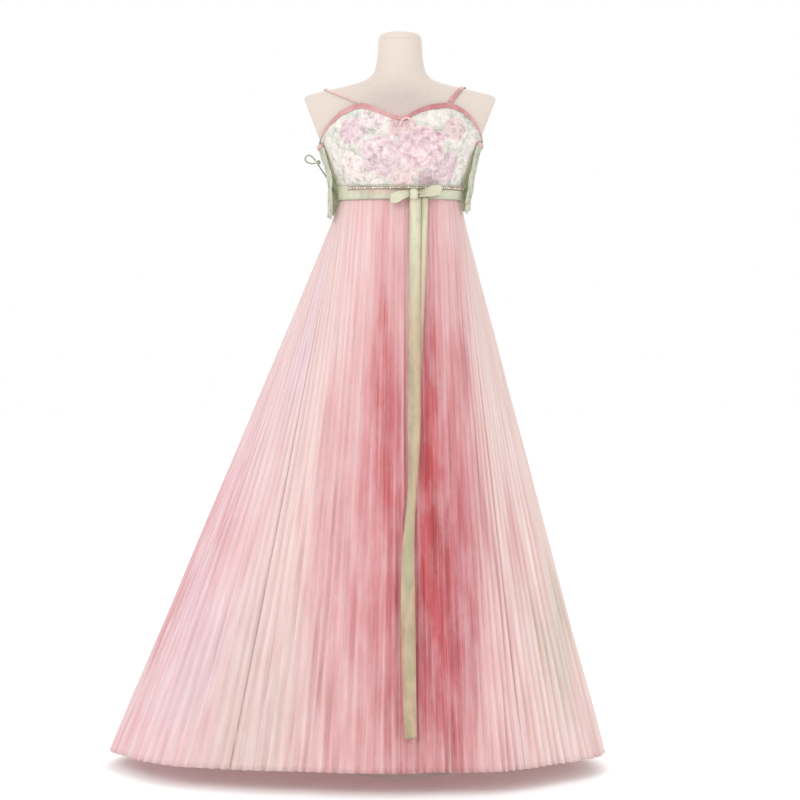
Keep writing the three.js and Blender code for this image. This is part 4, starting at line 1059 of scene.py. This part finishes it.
def build_beads(material):
    """A row of beads between two rows of seed beads, sewn along the belt's upper edge."""
    points, faces, tints = [], [], []

    def add(centre, radius, tone):
        p, f = ball(centre, radius)
        shift = sum(len(q) for q in points)
        points.append(p)
        faces.extend([[i + shift for i in face] for face in f])
        tints.append(np.ones((len(p), 3)) * np.array(tone))

    fine = np.linspace(BEAD_START, BEAD_END, 2000)
    line = belt_point(fine, BEAD_MIDDLE + 0 * fine, BELT_WALL + 1.8)
    run = np.concatenate([[0], np.cumsum(np.linalg.norm(np.diff(line, axis=0), axis=1))])
    for k, reach in enumerate(np.arange(1.5, run[-1] - 1.5, BEAD_PITCH)):
        angle = np.interp(reach, run, fine)
        main = belt_point(np.array(angle), np.array(BEAD_MIDDLE), BELT_WALL + BEAD_OUT)
        add(main, BEAD_RADIUS * (1 + 0.08 * math.sin(k * 2.1)), BEAD_TONES[(k * 7 + k // 3) % 4])
        for rise in (-SEED_RISE, SEED_RISE):
            for step in (-0.25, 0.25):
                near = angle + step * BEAD_PITCH / BELT_TURN
                seed = belt_point(np.array(near), np.array(BEAD_MIDDLE + rise), BELT_WALL + SEED_OUT)
                add(seed, SEED_RADIUS, SEED_TONES[int(step > 0)])
    colours = np.concatenate(tints)
    piece = make_object("bead_row", np.concatenate(points), faces, material, None, colours)
    place(piece, "bead", "bead_trim")


KNOT_X, KNOT_Z = 27, 1152
KNOT_HALF_WIDTH, KNOT_HALF_DEPTH, KNOT_HALF_HEIGHT = 9.6, 6.0, 10.5
KNOT_ROWS, KNOT_AROUND = 40, 72
BOW_CLEAR, BOW_WALL = 7.5, 0.7
# Bow loops: start and reach from the knot, rise, half width, bulge and seed
BOW_LOOPS = [
    ("bow_loop_left", -11, -46, -9, 10.5, 10, 51),
    ("bow_loop_right", 11, 54, 9, 10, 9, 53),
]


def belt_depth(x):
    """Where the bow and the ribbons lie in front of the belt."""
    return -(BELT_DEPTH + BOW_CLEAR) * np.sqrt(1 - (x / (BELT_HALF + BOW_CLEAR)) ** 2)


def build_bow(sage):
    around = 2 * math.pi * np.arange(KNOT_AROUND) / KNOT_AROUND
    up, turn = np.meshgrid(np.linspace(-1.5, 1.5, KNOT_ROWS), around, indexing="ij")
    pinch = 1 - 0.10 * np.cos(2 * up)
    gathers = 1 + 0.055 * np.sin(7 * up + 2 * np.sin(turn)) + 0.03 * np.sin(5 * turn + 3 * up)
    across = KNOT_HALF_WIDTH * np.cos(up) ** 0.8 * np.cos(turn) * pinch * gathers
    deep = KNOT_HALF_DEPTH * np.cos(up) ** 0.8 * np.sin(turn) * gathers
    knot_y = belt_depth(KNOT_X) - KNOT_HALF_DEPTH
    points = np.stack([KNOT_X + across, knot_y + deep, KNOT_Z + KNOT_HALF_HEIGHT * np.sin(up)], -1)
    knot = make_object("ribbon_knot", points, tube_faces(KNOT_ROWS, KNOT_AROUND), sage)
    place(knot, "sage_satin", "bow_knot")
    for name, start, reach, rise, half, bulge, seed in BOW_LOOPS:
        turn = np.linspace(0, 2 * math.pi, 120)
        along = (1 - np.cos(turn)) / 2
        x = KNOT_X + start + (reach - start) * along
        y = belt_depth(x) - bulge / 2 - 1 - np.sin(turn) * bulge / 2
        y[0], y[-1] = y[0] - 0.8, y[-1] + 0.8
        z = KNOT_Z + rise * along
        spread = half * (0.5 + 0.5 * np.minimum(1, 2 * along))
        share = np.linspace(-1, 1, 25)
        lean = 1.1 * ripple(turn / 9, seed, 3, 1)
        middle = np.stack([x, y, z], -1)
        tangent = unit(np.gradient(middle, axis=0))
        away = np.stack([-tangent[:, 1], tangent[:, 0], 0 * x], -1)
        pinched = 1.5 * (1 - along[:, None]) * np.sin(7.5 * share[None] + seed)
        soft = np.sin(4.5 * share[None] + 7 * along[:, None] + seed) * along[:, None]
        crumple = pinched + soft
        above = np.array([0, 0, 1.0])
        grid = middle[:, None] + above * (share[None, :, None] * spread[:, None, None])
        grid = grid + away[:, None] * crumple[..., None] + above * lean[:, None, None] * 0.5
        uv = np.stack(np.broadcast_arrays(turn[:, None] * 0.01, share[None] * half * MM), -1)
        piece = make_shell("ribbon_" + name, grid, BOW_WALL, sage, uv)
        place(piece, "sage_satin", name)


# Ribbon tails from the knot down: minus the height, place across and half width
FRONT_TAIL = table("drop x half", [
    (-1138, 30, 11.5), (-1050, 29, 11.5), (-900, 28, 11.5), (-740, 28, 12.5), (-640, 26, 11),
    (-575, 23, 8), (-510, 18, 10), (-446, 15, 13), (-330, 15.5, 14), (-200, 18, 13), (-112, 20, 12),
])
BACK_TAIL = table("drop x half", [
    (-1139, 46, 9), (-1050, 43, 9.5), (-940, 38, 10), (-800, 32, 10), (-600, 25, 9),
    (-420, 17, 9), (-250, 17, 9),
])
TAIL_ROWS, TAIL_COLUMNS, TAIL_WALL = 260, 29, 0.6
TAIL_BLUR = 15            # rows over which the depth is smoothed
TAIL_BEFORE_BELT = 4.3
NARROW_HALF, NARROW_SPREAD = 8, 1.8     # where a tail is this narrow it is pinched into a fold
TAIL_OVER_BELT = 24       # the tails still stand clear of the belt this far below it
TAIL_TUCK = 8             # the tails go up this far behind the knot


def build_tail(name, node, rows, off, seed, limp, material):
    """One hanging ribbon, that far off the skirt: folded along its length and cut on a slant."""
    z = np.linspace(-rows["drop"][0] + TAIL_TUCK, -rows["drop"][-1], TAIL_ROWS)
    x, half = smooth(rows, "drop", "x", -z), smooth(rows, "drop", "half", -z)
    share = np.linspace(-1, 1, TAIL_COLUMNS)
    across = x[:, None] + share[None] * half[:, None]
    depth = skirt_front_y(across, np.minimum(z[:, None], BELT_BOTTOM) + 0 * across).min(axis=1)
    before_belt = np.minimum(depth, belt_depth(x - half) + TAIL_BEFORE_BELT)
    depth = np.where(z > BELT_BOTTOM - TAIL_OVER_BELT, before_belt, depth)
    kernel = np.hanning(TAIL_BLUR) / np.hanning(TAIL_BLUR).sum()
    depth = np.convolve(np.pad(depth, TAIL_BLUR // 2, mode="edge"), kernel, mode="valid")
    run = (z[0] - z) / (z[0] - z[-1])
    phase = 1.2 * ripple(run, seed, 3, 1.1)
    open_out = 0.6 + 0.4 * ease(run, 0, 0.1)
    fold = limp * np.sin(math.pi * share[None] * 1.4 + phase[:, None]) * open_out[:, None]
    curl = 0.6 * limp * np.abs(share[None]) ** 3 * np.sin(5 * run + seed)[:, None]
    narrow = np.exp(-((half[:, None] - NARROW_HALF) / NARROW_SPREAD) ** 2)
    pinch = 3.5 * narrow * np.cos(math.pi * share[None])
    proud = off * (0.55 + 0.45 * ease(run, 0, 0.03))
    y = (depth - proud)[:, None] - 0.5 - (fold + curl + pinch * 0.6 + 0.9)
    slant = 3 * share[None] * ease(run, 0.97, 1)[:, None]
    grid = np.stack([across, y, z[:, None] + slant + 0 * across], -1)
    tone = np.clip(0.5 + 0.5 * np.sin(2.2 * share[None] + phase[:, None] + 0.8), 0, 1)
    high = (1 - ease(run, 0.02, 0.14))[:, None]
    ground = np.ones(tone.shape + (3,)) * np.array(TAIL_GREEN)
    colour = lay(ground, TAIL_CREAM, ease(tone, 0.6, 1.0) * (0.45 + 0.5 * high))
    edge = ease(np.abs(share[None] + 0 * tone), 0.5, 0.92)
    colour = lay(colour, TAIL_TAN, (0.85 - 0.5 * high) * edge)
    colour = lay(colour, TAIL_TAN, 0.35 * (1 - high) * ease(tone, 0.4, 0.9))
    colour = lay(colour, TAIL_PALE, 0.75 * (1 - ease(run, 0.06, 0.30))[:, None] * (1 - 0.6 * edge))
    uv = np.stack(np.broadcast_arrays(across * MM, z[:, None] * MM), -1)
    piece = make_shell(name, grid, TAIL_WALL, material, uv, colour)
    place(piece, "sage_satin", node)


# ---------------------------------------------------------------- side tie
TIE_KNOT, TIE_KNOT_RADIUS, TIE_CORD_DIAMETER = (-163, 2, 1219), 4.5, 3.0
TIE_TWISTS = 700.0        # waves of the cord's twist to the metre
TIE_LOOP_ROUTE = [
    (-168, 0.8, 1222), (-173, -1, 1228), (-179, -2, 1232.5), (-185, -1.5, 1232), (-189, 0, 1227),
    (-187, 1.5, 1221), (-181, 2.8, 1217.8), (-174, 3.6, 1217), (-168.2, 3.4, 1218),
]
TIE_END_ROUTE = [(-163, 6, 1215), (-161, 13, 1211), (-157, 21, 1205), (-152, 29, 1198), (-148, 37, 1191)]


def build_side_tie(material):
    """A lumpy knot, a loop that leaves it and comes back, and one short hanging end."""
    p, f = ball(np.array([0.0, 0, 0]), TIE_KNOT_RADIUS, 24, 36)
    lumps = 1 + 0.09 * np.sin(p[:, 0] * 1.6 + p[:, 2] * 1.1) * np.cos(p[:, 1] * 1.3)
    knot = make_object("side_tie_knot", p * lumps[:, None] + np.array(TIE_KNOT), f, material, p[:, :2] * 0.6)
    place(knot, "tie_cord", "tie_knot")
    for name, node, route, far, lay_word in (
        ("side_tie_loop", "tie_loop", TIE_LOOP_ROUTE, "object", "loose"),
        ("side_tie_end", "tie_end", TIE_END_ROUTE, "bare", "hanging"),
    ):
        line = catmull(route, 90)
        along = unit(np.gradient(line, axis=0))
        side = unit(np.cross(along, np.array([0.2, 1.0, 0.1])))
        up = unit(np.cross(side, along))
        radius = TIE_CORD_DIAMETER / 2
        tube = sweep(name, line, side, up, radius, radius, material, 16, 2)
        stretch = np.array([TIE_TWISTS, 1.0])
        data = tube.data.uv_layers["UVMap"].data
        flat = np.empty(2 * len(data))
        data.foreach_get("uv", flat)
        data.foreach_set("uv", (flat.reshape(-1, 2) * stretch).ravel())
        place(tube, "tie_cord", node)


# ---------------------------------------------------------------- camera, floor and light
CAMERA_PLACE, CAMERA_LENS, CAMERA_DIP = (0, -4.6, 0.95), 103.5, 2.55
FLOOR_REACH = 14
# Lamps: name, place, width, power and the point they face
LAMPS = [
    ("key", (-2.2, -3.4, 3.0), 2.2, 58, (0, 0, 0.8)),
    ("fill", (2.8, -3.0, 1.8), 2.8, 24, (0, 0, 0.7)),
    ("top", (0, 0.6, 4.2), 2.5, 10, (0, 0, 0.8)),
    ("rear", (0.9, 3.8, 2.6), 2.6, 45, (0, 0, 0.8)),
]


def build_camera():
    data = bpy.data.cameras.new("camera")
    data.sensor_width, data.lens = 36, CAMERA_LENS
    camera = bpy.data.objects.new("camera", data)
    camera.location = CAMERA_PLACE
    camera.rotation_euler = (math.radians(90 - CAMERA_DIP), 0, 0)
    bpy.context.scene.collection.objects.link(camera)
    bpy.context.scene.camera = camera


def build_studio(material):
    corners = np.array([(-1, -1, 0), (1, -1, 0), (1, 1, 0), (-1, 1, 0)]) * FLOOR_REACH
    floor = make_object("studio_floor", corners / MM, [[0, 1, 2, 3]], material)
    for name, spot, size, power, aim in LAMPS:
        lamp = bpy.data.lights.new(name, "AREA")
        lamp.shape, lamp.size, lamp.energy = "DISK", size, power
        thing = bpy.data.objects.new(name, lamp)
        thing.location = spot
        toward = np.array(aim) - np.array(spot)
        yaw = math.atan2(toward[1], toward[0]) - math.pi / 2
        tilt = math.pi / 2 + math.atan2(toward[2], math.hypot(toward[0], toward[1]))
        thing.rotation_euler = (tilt, 0, yaw)
        bpy.context.scene.collection.objects.link(thing)
    world = bpy.data.worlds.new("studio")
    world.use_nodes = True
    world.node_tree.nodes["Background"].inputs["Color"].default_value = (1, 1, 1, 1)
    world.node_tree.nodes["Background"].inputs["Strength"].default_value = 1.0
    bpy.context.scene.world = world
    bpy.context.scene.view_settings.view_transform = "Standard"


build_camera()
build_side_tie(cord_material())
build_studio(floor_material())
build_form(form_material())
build_stand(metal_material("brushed_pole", srgb(206, 203, 198), 0.3, 0.85), enamel_material())
build_skirt(skirt_material())
build_bodice_front(brocade_material("blossom_brocade", 0.3))
build_back_panel(brocade_material("sage_jacquard", 0.3, 640, 0.6))
rose = satin_material("rose_satin", SATIN_ROSE, SATIN_ROSE_DEEP, SATIN_BLUSH)
blush = satin_material("blush_satin", SATIN_BLUSH, SATIN_ROSE, srgb(244, 212, 208))
sage = satin_material("sage_satin", BOW_SAGE, SAGE_DARK, SAGE_PALE)
sash = satin_material("sash_satin", None, SAGE_DARK, SAGE_PALE)
tail = satin_material("tail_satin", None, TAIL_TAN, TAIL_CREAM)
build_bindings(satin_material("binding_satin", None, SATIN_ROSE_DEEP, SATIN_BLUSH))
build_straps(rose, blush)
build_lap_ends(blush)
build_belt(sash)
build_beads(bead_material())
build_bow(sage)
build_tail("ribbon_behind", "ribbon_tail_back", BACK_TAIL, 0.6, 61, 0.4, tail)
build_tail("ribbon_in_front", "ribbon_tail_front", FRONT_TAIL, 3.8, 67, 1.0, tail)
